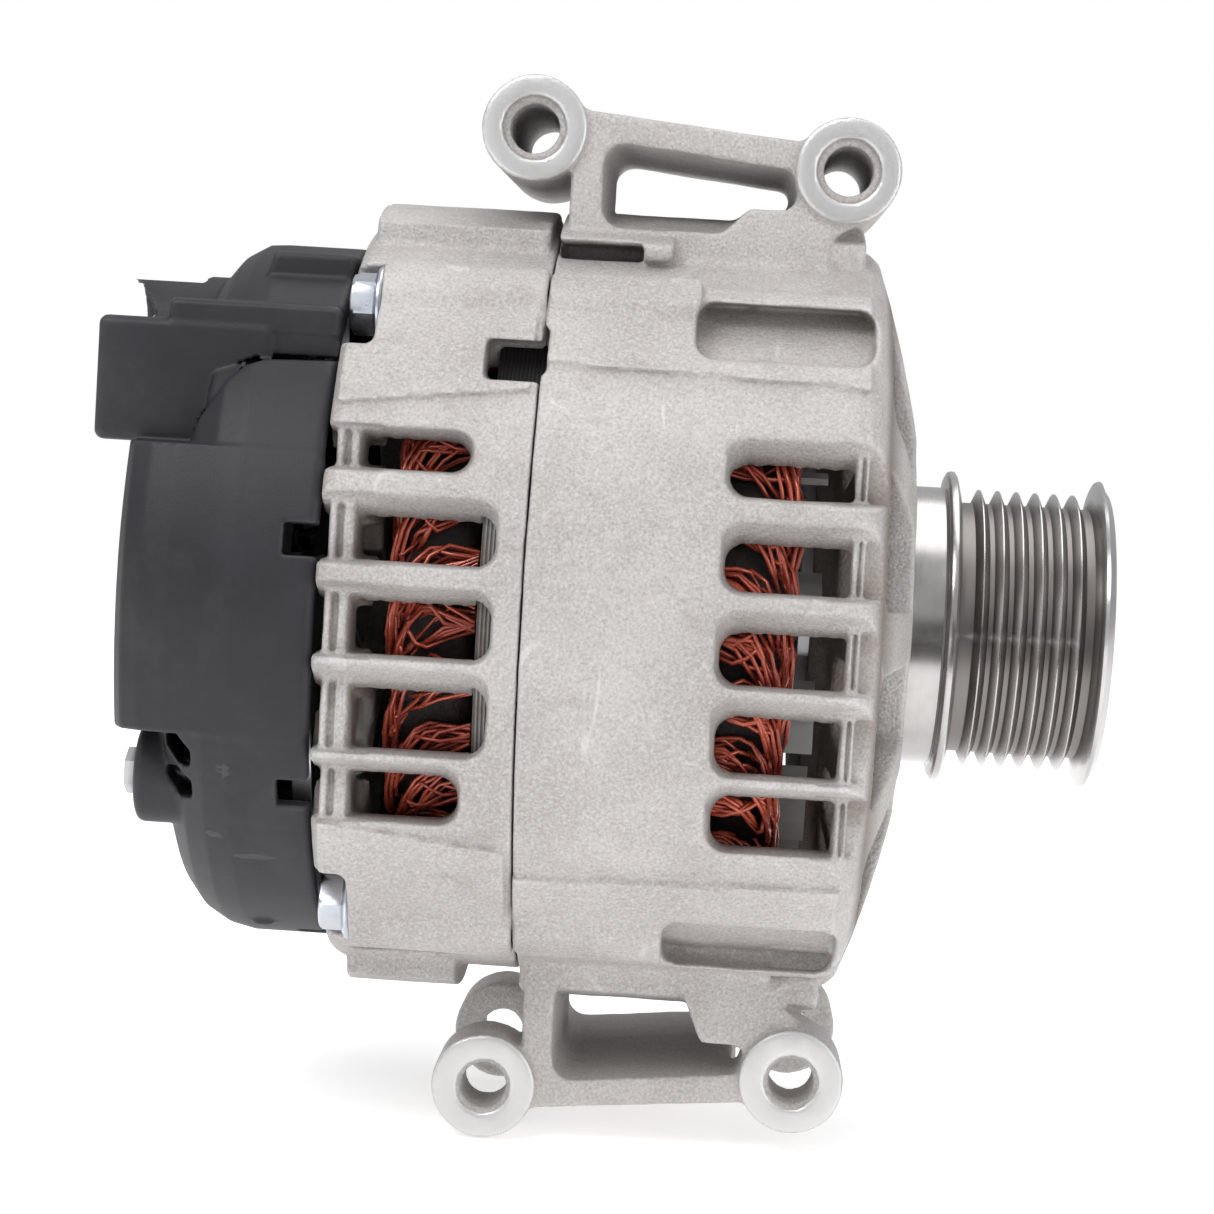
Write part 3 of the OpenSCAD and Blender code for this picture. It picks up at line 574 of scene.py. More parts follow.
def ribbedSteel():
    f = Finish("ribbedSteel")
    x, y, z = f.axes()
    radius = (y * y + z * z) ** 0.5
    clouds = f.noise(110, 4, 0.6)
    turning = f.noise(5600, 2, 0.5, (1, 0.012, 0.012))
    # painted shade: the groove roots between the ribs are darkened, and made rougher
    groove = (0.0260 - radius).ramp(0, 0.0020) * (x + 0.0118).above(0) * (0.0150 - x).above(0)
    colour = f.mix(clouds.ramp(0.3, 0.75), (0.47, 0.455, 0.44), (0.60, 0.59, 0.58))
    colour = f.mix(turning * 0.35, colour, (0.34, 0.32, 0.31))
    colour = f.mix(groove * 0.75, colour, (0.15, 0.13, 0.12))
    colour = f.mix(f.pointiness().ramp(0.54, 0.66) * 0.6, colour, (0.9, 0.9, 0.9))
    rough = 0.25 + (clouds - 0.5) * 0.14 + groove * 0.16
    return f.surface(colour=colour, rough=rough, metal=1.0, normal=f.bump(turning, 0.00003, 0.5))


finishes = {
    "cast_aluminium": castAluminium(),
    "zinc_steel": steel("zincSteel", (0.62, 0.66, 0.74), (0.42, 0.46, 0.54), 0.30, 1.0, "none",
                        tint=(0.66, 0.63, 0.58),
                        wear=0.4),
    "bright_steel": steel("turnedSteel", (0.56, 0.55, 0.535), (0.40, 0.385, 0.37), 0.27, 1.0, "x", 5200),
    "fan_plate": steel("fanPlate", (0.50, 0.51, 0.50), (0.34, 0.345, 0.34), 0.45, 0.8, "none",
                       tint=(0.40, 0.36, 0.30), wear=0.3),
    "electrical_steel": laminated(),
    "forged_steel": steel("forgedSteel", (0.22, 0.215, 0.21), (0.11, 0.105, 0.10), 0.5, 0.8, "none",
                          tint=(0.16, 0.09, 0.06)),
    "bearing_steel": steel("bearingSteel", (0.78, 0.78, 0.79), (0.66, 0.66, 0.67), 0.14, 1.0, "x", 6000),
    "enamelled_copper": enamel(),
    "slot_paper": moulded("slotPaper", (0.62, 0.52, 0.33), (0.45, 0.35, 0.2), 0.7, 700, 0.5),
    "bobbin_plastic": moulded("bobbinPlastic", (0.66, 0.62, 0.5), (0.55, 0.5, 0.4), 0.45, 900),
    "cage_plastic": moulded("cagePlastic", (0.5, 0.36, 0.15), (0.4, 0.27, 0.1), 0.4, 900),
    "black_plastic": satinBlack(),
    "heat_sink": steel("pressedPlate", (0.62, 0.63, 0.65), (0.44, 0.45, 0.47), 0.38, 0.9, "none", wear=0.3),
    "slip_copper": steel("slipCopper", (0.75, 0.38, 0.2), (0.55, 0.25, 0.12), 0.2, 1.0, "x", 6000),
    "bush_bronze": steel("sinteredBronze", (0.5, 0.35, 0.16), (0.36, 0.24, 0.1), 0.42, 0.9, "none"),
    "carbon": pressedCarbon(),
    "terminal_brass": steel("tinnedBrass", (0.72, 0.66, 0.48), (0.55, 0.46, 0.27), 0.26, 1.0, "none",
                            wear=0.4),
    "diode_can": steel("platedCan", (0.42, 0.42, 0.44), (0.26, 0.26, 0.28), 0.35, 0.9, "none", wear=0.4),
}
slotNodes = {
    "cast_aluminium": ["front_housing", "rear_housing"],
    "zinc_steel": ["through_bolts", "retainer_screws", "bearing_retainer", "rectifier_screws", "output_stud",
                   "cover_screws",
                   "inner_brush_spring", "outer_brush_spring"],
    "bright_steel": ["rotor_shaft", "pulley_rim", "pulley_hub"],
    "electrical_steel": ["stator_core"],
    "forged_steel": ["front_claw_pole", "rear_claw_pole", "front_fan", "rear_fan"],
    "bearing_steel": ["front_bearing_outer", "front_bearing_inner", "front_bearing_balls",
                      "rear_bearing_outer",
                      "rear_bearing_inner", "rear_bearing_balls", "pulley_rollers"],
    "enamelled_copper": ["stator_winding", "phase_leads", "field_coil"],
    "slot_paper": ["slot_liners"],
    "bobbin_plastic": ["coil_bobbin"],
    "cage_plastic": ["front_bearing_cage", "rear_bearing_cage", "roller_cage"],
    "black_plastic": ["slip_ring_carrier", "bearing_sleeve", "pulley_cap", "terminal_carrier", "regulator",
                      "rear_cover"],
    "heat_sink": ["rectifier_plate_positive", "rectifier_plate_negative"],
    "slip_copper": ["inner_slip_ring", "outer_slip_ring"],
    "bush_bronze": ["front_bush", "rear_bush"],
    "carbon": ["inner_brush", "outer_brush"],
    "terminal_brass": ["connector_pins"],
    "diode_can": ["positive_diodes", "negative_diodes"],
}
for slot, names in slotNodes.items():
    for name in names:
        nodes[name].data.materials.clear()
        nodes[name].data.materials.append(finishes[slot])
for name, finish in (("front_fan", "fan_plate"), ("rear_fan", "fan_plate"), ("cover_screws", "diode_can")):
    nodes[name].data.materials[0] = finishes[finish]
print("materials made:", len(finishes))


# camera, light and floor

view = {"place": (-55.80, -574.29, 40.15), "yaw": 2.077, "pitch": -4.036, "roll": 3.379, "lens": 88.98}


def makeCamera():
    yaw, pitch, roll = (math.radians(view[k]) for k in ("yaw", "pitch", "roll"))
    ahead = Vector((-math.sin(yaw) * math.cos(pitch), math.cos(yaw) * math.cos(pitch), math.sin(pitch)))
    right = Vector((math.cos(yaw), math.sin(yaw), 0))
    up = right.cross(ahead)
    across = math.cos(roll) * right + math.sin(roll) * up
    above = -math.sin(roll) * right + math.cos(roll) * up
    turn = Matrix((across, above, -ahead)).transposed().to_4x4()
    data = bpy.data.cameras.new("camera")
    data.lens, data.sensor_width, data.clip_start, data.clip_end = view["lens"], 36, 0.01, 20
    camera = placed("camera", data)
    camera.matrix_world = Matrix.Translation(Vector(view["place"]) * mm) @ turn
    bpy.context.scene.camera = camera


def areaLight(name, place, target, width, height, power, colour=(1, 1, 1)):
    data = bpy.data.lights.new(name, "AREA")
    data.shape, data.size, data.size_y, data.energy, data.color = "RECTANGLE", width, height, power, colour
    light = placed(name, data)
    light.location = place
    light.rotation_euler = (Vector(target) - Vector(place)).to_track_quat("-Z", "Y").to_euler()
    light.visible_camera = False


def flatCard(name, corners, colour, hidden=True):
    mesh = bpy.data.meshes.new(name)
    mesh.from_pydata(corners, [], [(0, 1, 2, 3)])
    card = placed(name, mesh)
    f = Finish(name)
    tone = f.noise(3, 2).ramp(0.3, 0.7)
    colour = f.mix(tone, colour, tuple(c * 0.97 for c in colour))
    mesh.materials.append(f.surface(colour=colour, rough=0.9, specular=0.1, glow=colour,
                                    glowLevel=0.0 if hidden else 0.55))
    if hidden:
        card.visible_camera = card.visible_shadow = card.visible_diffuse = False  # only gloss sees a card


def makeStage():
    scene = bpy.context.scene
    scene.view_settings.view_transform = "Standard"
    world = bpy.data.worlds.new("studio")
    scene.world = world
    world.use_nodes = True
    tree = world.node_tree
    tree.nodes.clear()
    path, seen, end = (tree.nodes.new("ShaderNode" + k) for k in ("LightPath", "Background", "OutputWorld"))
    lit, both = tree.nodes.new("ShaderNodeBackground"), tree.nodes.new("ShaderNodeMixShader")
    seen.inputs["Color"].default_value, seen.inputs["Strength"].default_value = (1, 1, 1, 1), 1.0
    lit.inputs["Color"].default_value, lit.inputs["Strength"].default_value = (0.97, 0.98, 1, 1), 0.56
    tree.links.new(path.outputs["Is Camera Ray"], both.inputs[0])
    tree.links.new(lit.outputs[0], both.inputs[1])
    tree.links.new(seen.outputs[0], both.inputs[2])
    tree.links.new(both.outputs[0], end.inputs["Surface"])
    low = cadLow.z - 0.0004
    flatCard("floor", [(-3, -3, low), (3, -3, low), (3, 3, low), (-3, 3, low)], (0.93, 0.93, 0.93), False)
    areaLight("keyLight", (-0.55, -0.75, 0.85), (-0.06, 0, 0), 0.7, 0.5, 7.0)
    areaLight("topLight", (0.1, 0.1, 1.0), (-0.06, 0, 0), 1.0, 0.8, 5.0)
    areaLight("fillLight", (0.8, -0.7, 0.25), (-0.04, 0, 0), 0.5, 0.7, 2.2)
    flatCard("darkCardUpright", [(-0.25, -1.0, -0.09), (0.45, -1.0, -0.09), (0.45, -1.0, 0.12),
                                 (-0.25, -1.0, 0.12)],
             (0.02, 0.018, 0.016))
    flatCard("darkCardFlat", [(-0.12, -0.95, low + 0.001), (0.16, -0.95, low + 0.001),
                              (0.16, -0.2, low + 0.001),
             (-0.12, -0.2, low + 0.001)], (0.03, 0.025, 0.02))


makeCamera()
makeStage()
print("camera and stage made")


# housings

housing = {"body": 70.0, "seam": -88.6, "seamGap": 0.15, "rear": -124.2, "barEnd": -28.6, "hub": -20.5,
           "depth": 8.2,
           "core": 64.45, "bearing": 23.5, "boss": 9.6, "near": -28.0, "far": 36.0}
rearWindows = [(33.4, 30.7, 25.1), (22.5, 16.9, 9.4), (6.3, 2.4, -6.7), (-8.7, -13.4, -23.4),
               (-25.6, -28.2, -36.0)]
frontWindows = [(36.4, 29.6, 23.9), (21.4, 16.0, 7.9), (5.6, 0.6, -8.2), (-10.2, -14.3, -23.9),
                (-26.0, -28.5, -37.7)]
rearWindowX = [(-118.6, -99.2), (-118.3, -94.0), (-118.4, -93.9), (-117.8, -94.0), (-117.9, -98.4)]
frontWindowX = [(-54.9, -33.0)] * 5
boltPlaces = [(sy * 66 * math.cos(math.radians(54.5)), sz * 66 * math.sin(math.radians(54.5)))
              for sy in (-1, 1) for sz in (-1, 1)]
upperBosses, lowerBosses = [(-93.8, 87.6), (-36.6, 83.0)], [(-93.4, -88.6), (-36.6, -84.0)]


def flip(points):
    return [(x, -z) for x, z in points]


def openShield(s, count, first, outline, corner, middle, half, blend):
    # wedge openings with rounded corners, spread round the shaft
    wedge = roundedOutline(outline, corner)
    rs, ws = [p[0] for p in outline], [p[1] for p in outline]

    def form(x, y, z):
        flat = outlineDistance(y[0], z[0], wedge).astype(np.float32)[None]
        return np.maximum(flat + 0 * x, np.abs(x - middle) - half)
    for i in range(count):
        opening = form, [middle - half, min(rs) - 1, min(ws) - 0.5], [middle + half, max(rs) + 0.5,
                                                                      max(ws) + 0.5]
        s.cut(spun(opening, i * 360 / count + first), blend)


def frontCasting():
    h = housing
    s = Solid((-105, -74, -99.5), (-19, 74, 99.5), 0.6)
    inner = h["body"] - h["depth"]
    s.add(turned([
        (h["body"], h["seam"] + h["seamGap"]), (h["body"], -33.5), (h["body"] - 0.6, -31),
        (h["body"] - 2.2, -29.3),
        (h["body"] - 4.2, h["barEnd"]), (61, -26.8), (52, -24.0), (46, -22.4), (40, -21), (37.5, h["hub"]),
        (31, h["hub"]),
        (30, -22.3), (14.5, -22.3), (14.5, -24.5), (h["bearing"], -24.5), (h["bearing"], -38.5), (31, -38.5),
        (33, -35),
        (50, -30.5), (inner, -32.4), (inner, -58), (h["core"], -58), (h["core"], h["seam"] + h["seamGap"])],
        0.35))
    # brackets above and below, each a frame round a window that is open from side to side
    for side, bosses, low, step in ((1, upperBosses, 71.8, 76.6), (-1, lowerBosses, 68.4, 79.5)):
        rear, front = (bosses[0][0], side * bosses[0][1]), (bosses[1][0], side * bosses[1][1])
        outline = [(-86.8, 58), (-86.8, rear[1] - 6), (rear[0] - 2, rear[1]), (rear[0] + 9, rear[1] + 3.9),
                   (front[0] - 8, front[1] + 4.8), (front[0] + 2, front[1]), (front[0] + 6, front[1] - 6.5),
                   (-39.4, 70),
                   (-38.4, 58)]
        hole = [(-79.7, low), (-79.7, rear[1] - 2.9), (-46.8, front[1] - 1.7), (-46.8, step), (-54.6, step),
                (-59.4, low)]
        if side < 0:
            outline, hole = flip(outline), flip(hole)
        plate = sheetShape(outline, h["near"] + 1.6, h["far"] - 1.6, 1.0, 2.0)
        window = sheetShape(hole, h["near"] - 4, h["far"] + 4, 0.2, 3.0, 0.045)
        frameShape = without(plate, window, rod("x", (0, 0), h["body"] - 2.5, -100, -24, 0))
        s.add(frameShape, 1.6)
    for x, z in upperBosses:
        s.add(rod("y", (x, z), h["boss"], h["near"], h["far"], 0.5), 1.4)
    for x, z in lowerBosses:
        s.cut(rod("y", (x, z), h["boss"] + 1.2, h["near"] + 14, h["far"] - 14, 1.2), 0.6)
    for x, z in lowerBosses:
        s.add(rod("y", (x, z), h["boss"], h["near"], h["near"] + 14, 0.5), 1.2)
        s.add(rod("y", (x, z), h["boss"], h["far"] - 14, h["far"], 0.5), 1.2)
    # raised blocks and bolt ridges that stand proud of the band
    outerBand = turned([(h["body"] - 2, -100), (73.0, -100), (73.0, -31.5), (h["body"] - 2, -31.5)], 0)
    raised = union(block((h["seam"] + 0.6, h["near"] - 3.4, 64.6), (-67.3, h["near"] + 30, 71.4), 1.4),
                   block((h["seam"] + 0.6, h["near"] + 2.6, 55), (-32.5, h["far"] - 2.6, 75), 1.0),
                   block((h["seam"] + 0.6, h["near"] + 2.6, -75), (-32.5, h["far"] - 2.6, -55), 1.0))
    s.add(common(raised, turned([(60, -100), (74.4, -100), (74.4, -31.5), (60, -31.5)], 0)), 1.0)
    for y, z in boltPlaces:
        s.add(common(rod("x", (y, z), 7.8, h["seam"] + h["seamGap"], -61.5, 1.4), outerBand), 1.6)
    # a low rounded step runs along the band above and below the windows
    for side in (1, -1):
        for sy in (1, -1):
            step = sheetShape([(h["seam"] + 0.4, 45.5 * side), (h["seam"] + 0.4, 60 * side),
                               (-31.5, 60 * side),
                               (-31.5, 44 * side)], -75, 75, 0.3)
            s.add(common(step, turned([(66, -100), (70.9, -100), (70.9, -30.8), (69.6, -29.8), (66, -29.8)],
                                      0.3)), 0.8)
    s.cut(turned([(0.2, -91), (h["core"], -91), (h["core"], -58), (inner, -57.4), (inner, -40), (0.2, -40)],
                 0), 0)
    # side windows and the stepped rim between the bar ends
    for side in (-1, 1):
        for i, (topOut, topIn, bottom) in enumerate(frontWindows):
            x0, x1 = frontWindowX[i]
            s.cut(sideWindow(x0, x1, topOut, topIn, bottom, 15, side, seed=i * 1.7 + side, square=1), 0.9)
            s.cut(sideWindow(x1 - 4, -24, topOut + 0.2, topIn + 0.6, bottom - 0.2, 4.3, side, corner=0.8,
                             rough=0.2,
                             seed=i), 0.5)
            s.cut(sideWindow(-30.9, -24, topOut, topIn + 0.4, bottom, 6.2, side, corner=0.6, rough=0,
                             seed=i), 0.5)
            s.cut(sideWindow(-32.2, -31.5, topOut - 0.4, topIn, bottom + 0.4, 5.6, side, corner=0.3, rough=0,
                             seed=i), 0.3)
    # casting pockets beside the brackets, slots above, notch windows and layered fins
    for sy in (-1, 1):
        for low, high, zs in (((-62.2, 47.4), (-30.6, 57.6), 1), ((-62.0, 52.2), (-30.6, 63.0), -1)):
            scoop = block((low[0], sy * 24, zs * low[1]), (high[0], sy * 70, zs * high[1]), 3.2)
            s.cut(common(scoop, turned([(65.2, -100), (90, -100), (90, -20), (65.2, -20)], 0)), 0.8)
        s.cut(block((h["seam"] + 0.4, sy * 14, 64.4), (-72.6, sy * 33, 67.4), 0.8), 0.4)
        s.cut(block((h["seam"] - 2, sy * 44, 43.0), (h["seam"] + 1.0, sy * 64, 51.2), 0.8), 0.3)
    for k, angle in enumerate((-64.6, -68.0, -71.4)):
        s.cut(spun(block((-41.5, -74, -0.75), (-27.2, -64.5 + k * 0.3, 0.75), 0.3), -angle), 0.3)
        s.cut(spun(block((-41.5, 64.5, -0.75), (-27.2, 74, 0.75), 0.3), angle), 0.3)
    for y, z in boltPlaces:
        s.cut(rod("x", (y, z), 3.35, -100, -66, 0), 0.3)
        s.cut(rod("x", (y, z), 5.0, -100, h["seam"] + 1.3, 0), 0.2)
    openShield(s, 10, 18, [(36, -7), (57, -12.5), (59.5, -11), (60.5, 0), (59.5, 11), (57, 12.5), (36, 7)], 3,
               -27, 9, 0.8)
    for i in range(4):
        a = math.radians(45 + 90 * i)
        s.cut(rod("x", (27.2 * math.cos(a), 27.2 * math.sin(a)), 2.1, -40, -31, 0), 0.3)
    # bores with a counterbore step and chamfer
    for bosses, bore, wider, deep, blend in ((upperBosses, 4.5, 1.3, 1.8, 0.3),
                                             (lowerBosses, 4.2, 0.8, 0.8, 0.5)):
        for x, z in bosses:
            s.cut(rod("y", (x, z), bore, h["near"] - 3, h["far"] + 3, 0), 0.2)
            for y in (h["near"], h["far"]):
                s.cut(rod("y", (x, z), bore + wider, y - deep, y + deep, 0.2), blend)
    s.roughen((0.07, 14, 3), (0.035, 4, 5))
    return s


def rearCasting():
    h = housing
    s = Solid((-126, -76, -76), (-87, 76, 76), 0.55)
    inner = h["body"] - h["depth"]
    s.add(turned([
        (h["body"], h["seam"] - h["seamGap"]), (h["core"], h["seam"] - h["seamGap"]), (h["core"], -96.4),
        (inner, -96.4),
        (inner, -117), (54, -114.5), (27, -114.5), (24, -116.5), (18, -116.5), (18, -119), (20, -119),
        (20, -126), (24, -126),
        (24, -119), (50, -119), (60, -121.5), (61, h["rear"]), (h["body"] - 3.4, h["rear"]),
        (h["body"] - 1.2, h["rear"] + 0.8), (h["body"] - 0.2, h["rear"] + 2.4),
        (h["body"], h["rear"] + 4.5)], 0.5))
    outerBand = turned([(h["core"] + 1, -124), (74.0, -124), (74.0, -88), (h["core"] + 1, -88)], 0)
    for y, z in boltPlaces:
        s.add(common(rod("x", (y, z), 8.2, -119.6, h["seam"] - h["seamGap"], 1.2), outerBand), 1.8)
    s.add(common(union(block((-121.6, -26, 56), (h["seam"] - 1.2, 30, 76), 1.2),
                       block((-120.4, -24, -76), (-100, 28, -56), 1.2)), outerBand), 1.4)
    # stepped ledges above the windows
    for side in (1, -1):
        ledge = sheetShape([(-123.0, 36.5 * side), (-123.0, 60 * side), (h["seam"] - 1, 60 * side),
                            (h["seam"] - 1, 40.5 * side)], -76, 76, 0.3)
        s.add(common(ledge, turned([(65, -124), (71.2, -122.6), (71.2, -90), (65, -90)], 0.3)), 0.9)
    for side in (-1, 1):
        for i, (topOut, topIn, bottom) in enumerate(rearWindows):
            x0, x1 = rearWindowX[i]
            s.cut(sideWindow(x0, x1, topOut, topIn, bottom, 16, side, seed=i * 2.1 + side, square=-1), 0.9)
            s.cut(sideWindow(-128, x0 + 4, topOut + 0.2, topIn + 0.6, bottom - 0.2, 4.2, side, corner=0.8,
                             rough=0.2,
                             seed=i), 0.5)
            s.cut(sideWindow(-128, -122.6, topOut + 0.2, topIn + 0.6, bottom - 0.2, 9.5, side, corner=0.6,
                             rough=0,
                             seed=i), 0.5)
            s.cut(sideWindow(-121.3, -120.1, topOut - 0.2, topIn, bottom + 0.2, 5.6, side, corner=0.4,
                             rough=0, seed=i), 0.4)
    for sy in (-1, 1):
        s.cut(block((-98.4, sy * 44, 41.6), (h["seam"] + 2, sy * 66, 48.8), 1.2), 0.5)
        s.cut(spun(block((-119, sy * 66, -2.0), (-101, sy * 80, 2.0), 1.5), 67 if sy < 0 else -67), 0.5)
    for y, z in boltPlaces:
        s.cut(rod("x", (y, z), 3.4, -130, -80, 0), 0.2)
        s.cut(rod("x", (y, z), 5.0, h["seam"] - 1.3, -80, 0), 0.2)
        s.cut(rod("x", (y, z), 8.6, -130, -118, 0.3), 0.6)
        s.cut(block((-131, math.copysign(36, y), math.copysign(46.6, z)),
                    (-118, math.copysign(80, y), math.copysign(61.0, z)), 1.6), 0.5)
    openShield(s, 10, 0, [(28, -5), (52, -11), (55, -6), (55.5, 0), (55, 6), (52, 11), (28, 5)], 2.5, -117,
               6, 0.6)
    for angle in (-36, -108, -144):
        a = math.radians(angle)
        s.cut(rod("x", (45.5 * math.cos(a), 45.5 * math.sin(a)), 2.3, -130, -110, 0), 0.2)
    s.roughen((0.07, 13, 8), (0.035, 4, 9))
    return s


mostTriangles = 190000
for solid, name, node in ((frontCasting, "frontCasting", "front_housing"),
                          (rearCasting, "rearCasting", "rear_housing")):
    finishPiece(solid().mesh(name, mostTriangles), "casing", finishes["cast_aluminium"], "cast_aluminium",
                node)


# rear cover

cover = {"r": 66.0, "front": -124.6, "wall": 2.4, "deep": -159.5, "top": 27.5, "bottom": -22.5,
         "studY": -9.0, "studZ": 47.0,
         "screwY": 42.0, "screwZ": -32.0}


def domeShape(inset):
    r = cover["r"] - inset
    front = cover["front"] + (1 if inset else 0)
    return turned([(0, front), (r, front), (r, -139), (r - 1.0, -143.5 + inset * 0.5),
                   (r - 3.4, -147.6 + inset * 0.7),
                   (r - 7.5, -150.8 + inset * 0.8), (r - 13, -152.8 + inset), (r - 18, -153.6 + inset),
                   (0, -153.6 + inset)],
                  1.5 if not inset else 0)


def coverShell():
    c = cover
    s = Solid((-169.5, -67.5, -67.5), (-123.5, 67.5, 64.5), 0.5)
    s.add(domeShape(0))
    # the round part ends in a curved edge where the connector stands out beside it
    arc = [(-172, 26.5), (-149.6, 26.5), (-148.8, 29), (-147.6, 32), (-145.6, 35.4), (-143.2, 39),
           (-140.6, 41.6), (-137, 42.9),
           (-120, 43.4), (-120, 80), (-172, 80)]
    for sy in (-1, 1):
        s.cut(sheetShape(arc, *sorted((sy * 80, sy * 46.2)), 0.4), 0.5)
    r = c["r"]
    deep = turned([(0, c["front"]), (r, c["front"]), (r, -150), (r - 0.8, -154.5), (r - 2.6, c["deep"] + 1.6),
                   (r - 5.6, c["deep"]), (0, c["deep"])], 1.5)
    s.add(common(deep, block((c["deep"] - 5, -80, c["bottom"]), (c["front"], 80, c["top"]), 3.0)), 0.9)
    s.add(block((-167.6, -47, 27.2), (-136, -18, 49.2), 1.6), 0.8)
    s.add(block((-155.4, -46.6, 47), (c["front"], -12, 52.9), 1.3), 0.5)
    s.add(sheetShape([(-143.5, 50), (-139.4, 62.7), (c["front"] - 0.2, 62.7), (c["front"] - 0.2, 48)], -31,
                     15, 1.0, 0.8), 0.5)
    s.add(turned([(50, c["front"] - 0.1), (63.4, c["front"] - 0.1), (63.4, -140), (62, -146.5), (50, -150)],
                 1), 0)
    shroud = without(rod("x", (c["studY"], c["studZ"]), 11, -168, -146, 0.4),
                     rod("x", (c["studY"], c["studZ"]), 9.2, -175, -140, 0),
                     sheetShape([(-175, 49.5), (-162.5, 49.5), (-164.2, 53), (-166.4, 56.2), (-175, 56.2)],
                                -40, c["studY"] - 3, 0),
                     block((-175, -40, 56.6), (-154.6, 30, 70), 0))
    s.add(shroud, 0.3)
    s.add(rod("x", (c["studY"], c["studZ"]), 9.6, -153, -140, 0.6), 0.4)
    for sy in (-1, 1):
        s.add(rod("x", (sy * c["screwY"], c["screwZ"]), 9, -157, -138, 1.4), 0.8)
    # lip pieces and a skirt under the cover
    s.add(block((-141.6, -30, -57.4), (-137.6, 30, -48), 1.0), 0.4)
    s.add(block((-137.9, -27, -61.5), (-133.9, 27, -50), 1.0), 0.4)
    s.add(common(block((-136, -40, -66.5), (c["front"], 40, -56), 0.8),
                 turned([(40, -140), (65.6, -140), (65.6, -120), (40, -120)], 0)))
    # hollow inside, keeping the screw bosses
    s.cut(without(domeShape(c["wall"]), rod("x", (-c["screwY"], c["screwZ"]), 6, -157, -146, 0),
                  rod("x", (c["screwY"], c["screwZ"]), 6, -157, -146, 0)), 0)
    w = c["wall"]
    deepIn = turned([(0, c["front"] + 2), (r - w, c["front"] + 2), (r - w, -150), (r - 4.2, c["deep"] + 5),
                     (r - 7, c["deep"] + w),
                     (0, c["deep"] + w)], 0)
    s.cut(without(common(deepIn, block((c["deep"], -80, c["bottom"] + w), (c["front"] + 3, 80, c["top"] - w),
                                       1.0)),
                  rod("x", (-c["screwY"], c["screwZ"]), 6, -157, -146, 0),
                  rod("x", (c["screwY"], c["screwZ"]), 6, -157, -146, 0)))
    s.cut(block((-172, -44.6, c["top"] + 1.6), (-150, -20.4, 46.8), 0.8), 0.3)
    s.cut(block((-153, -43, 31.5), (-138, -20.5, 43), 0.5), 0.3)
    s.cut(rod("x", (c["studY"], c["studZ"]), 5.2, -162, -120, 0), 0.3)
    for angle in (11, 169, -29.5, -150.5, -75, -105):
        s.cut(spun(block((-130.3, -80, -2.8), (-120, -60, 2.8), 0.2), -angle), 0.2)
    for k in (0, 1):
        z, tilt = -24.9 - 5.7 * k, 1.6 + 0.3 * k
        slot = [(-151.0, z + 1.6 - k * 0.4), (-148.4, z + 1.8 - k * 0.4), (-145.6, z - 1.0),
                (-145.6, z - 4.0), (-148.0, z - 3.4 - k * 0.8),
                (-150.6, z - 0.6)]
        s.cut(sheetShape(slot, -80, -34, 0, 0.9), 0.3)
        s.cut(sheetShape(slot, 34, 80, 0, 0.9), 0.3)
    for sy in (-1, 1):
        s.cut(rod("x", (sy * c["screwY"], c["screwZ"]), 2.4, -170, -120, 0), 0.3)
    s.roughen((0.03, 22, 4))
    return s


finishPiece(coverShell().mesh("coverShell", mostTriangles), "casing", finishes["black_plastic"],
            "black_plastic", "rear_cover")
print("cover made")


# wires and windings

def newTree(name, kinds):
    # a Geometry Nodes tree with one geometry in and out and a few named inputs
    tree = bpy.data.node_groups.new(name, "GeometryNodeTree")
    face = tree.interface
    face.new_socket("Geometry", in_out="INPUT", socket_type="NodeSocketGeometry")
    names = {label: face.new_socket(label, in_out="INPUT", socket_type="NodeSocket" + kind).identifier
             for label, kind in kinds.items()}
    face.new_socket("Geometry", in_out="OUTPUT", socket_type="NodeSocketGeometry")
    return tree, tree.nodes.new, tree.links.new, names


def throughTree(name, data, tree, names, values):
    holder = placed(name + "Source", data)
    made = holder.modifiers.new("made", "NODES")
    made.node_group = tree
    for label, value in values.items():
        made[names[label]] = value
    piece = placed(name, madeMesh(holder))
    bpy.data.objects.remove(holder)
    return piece


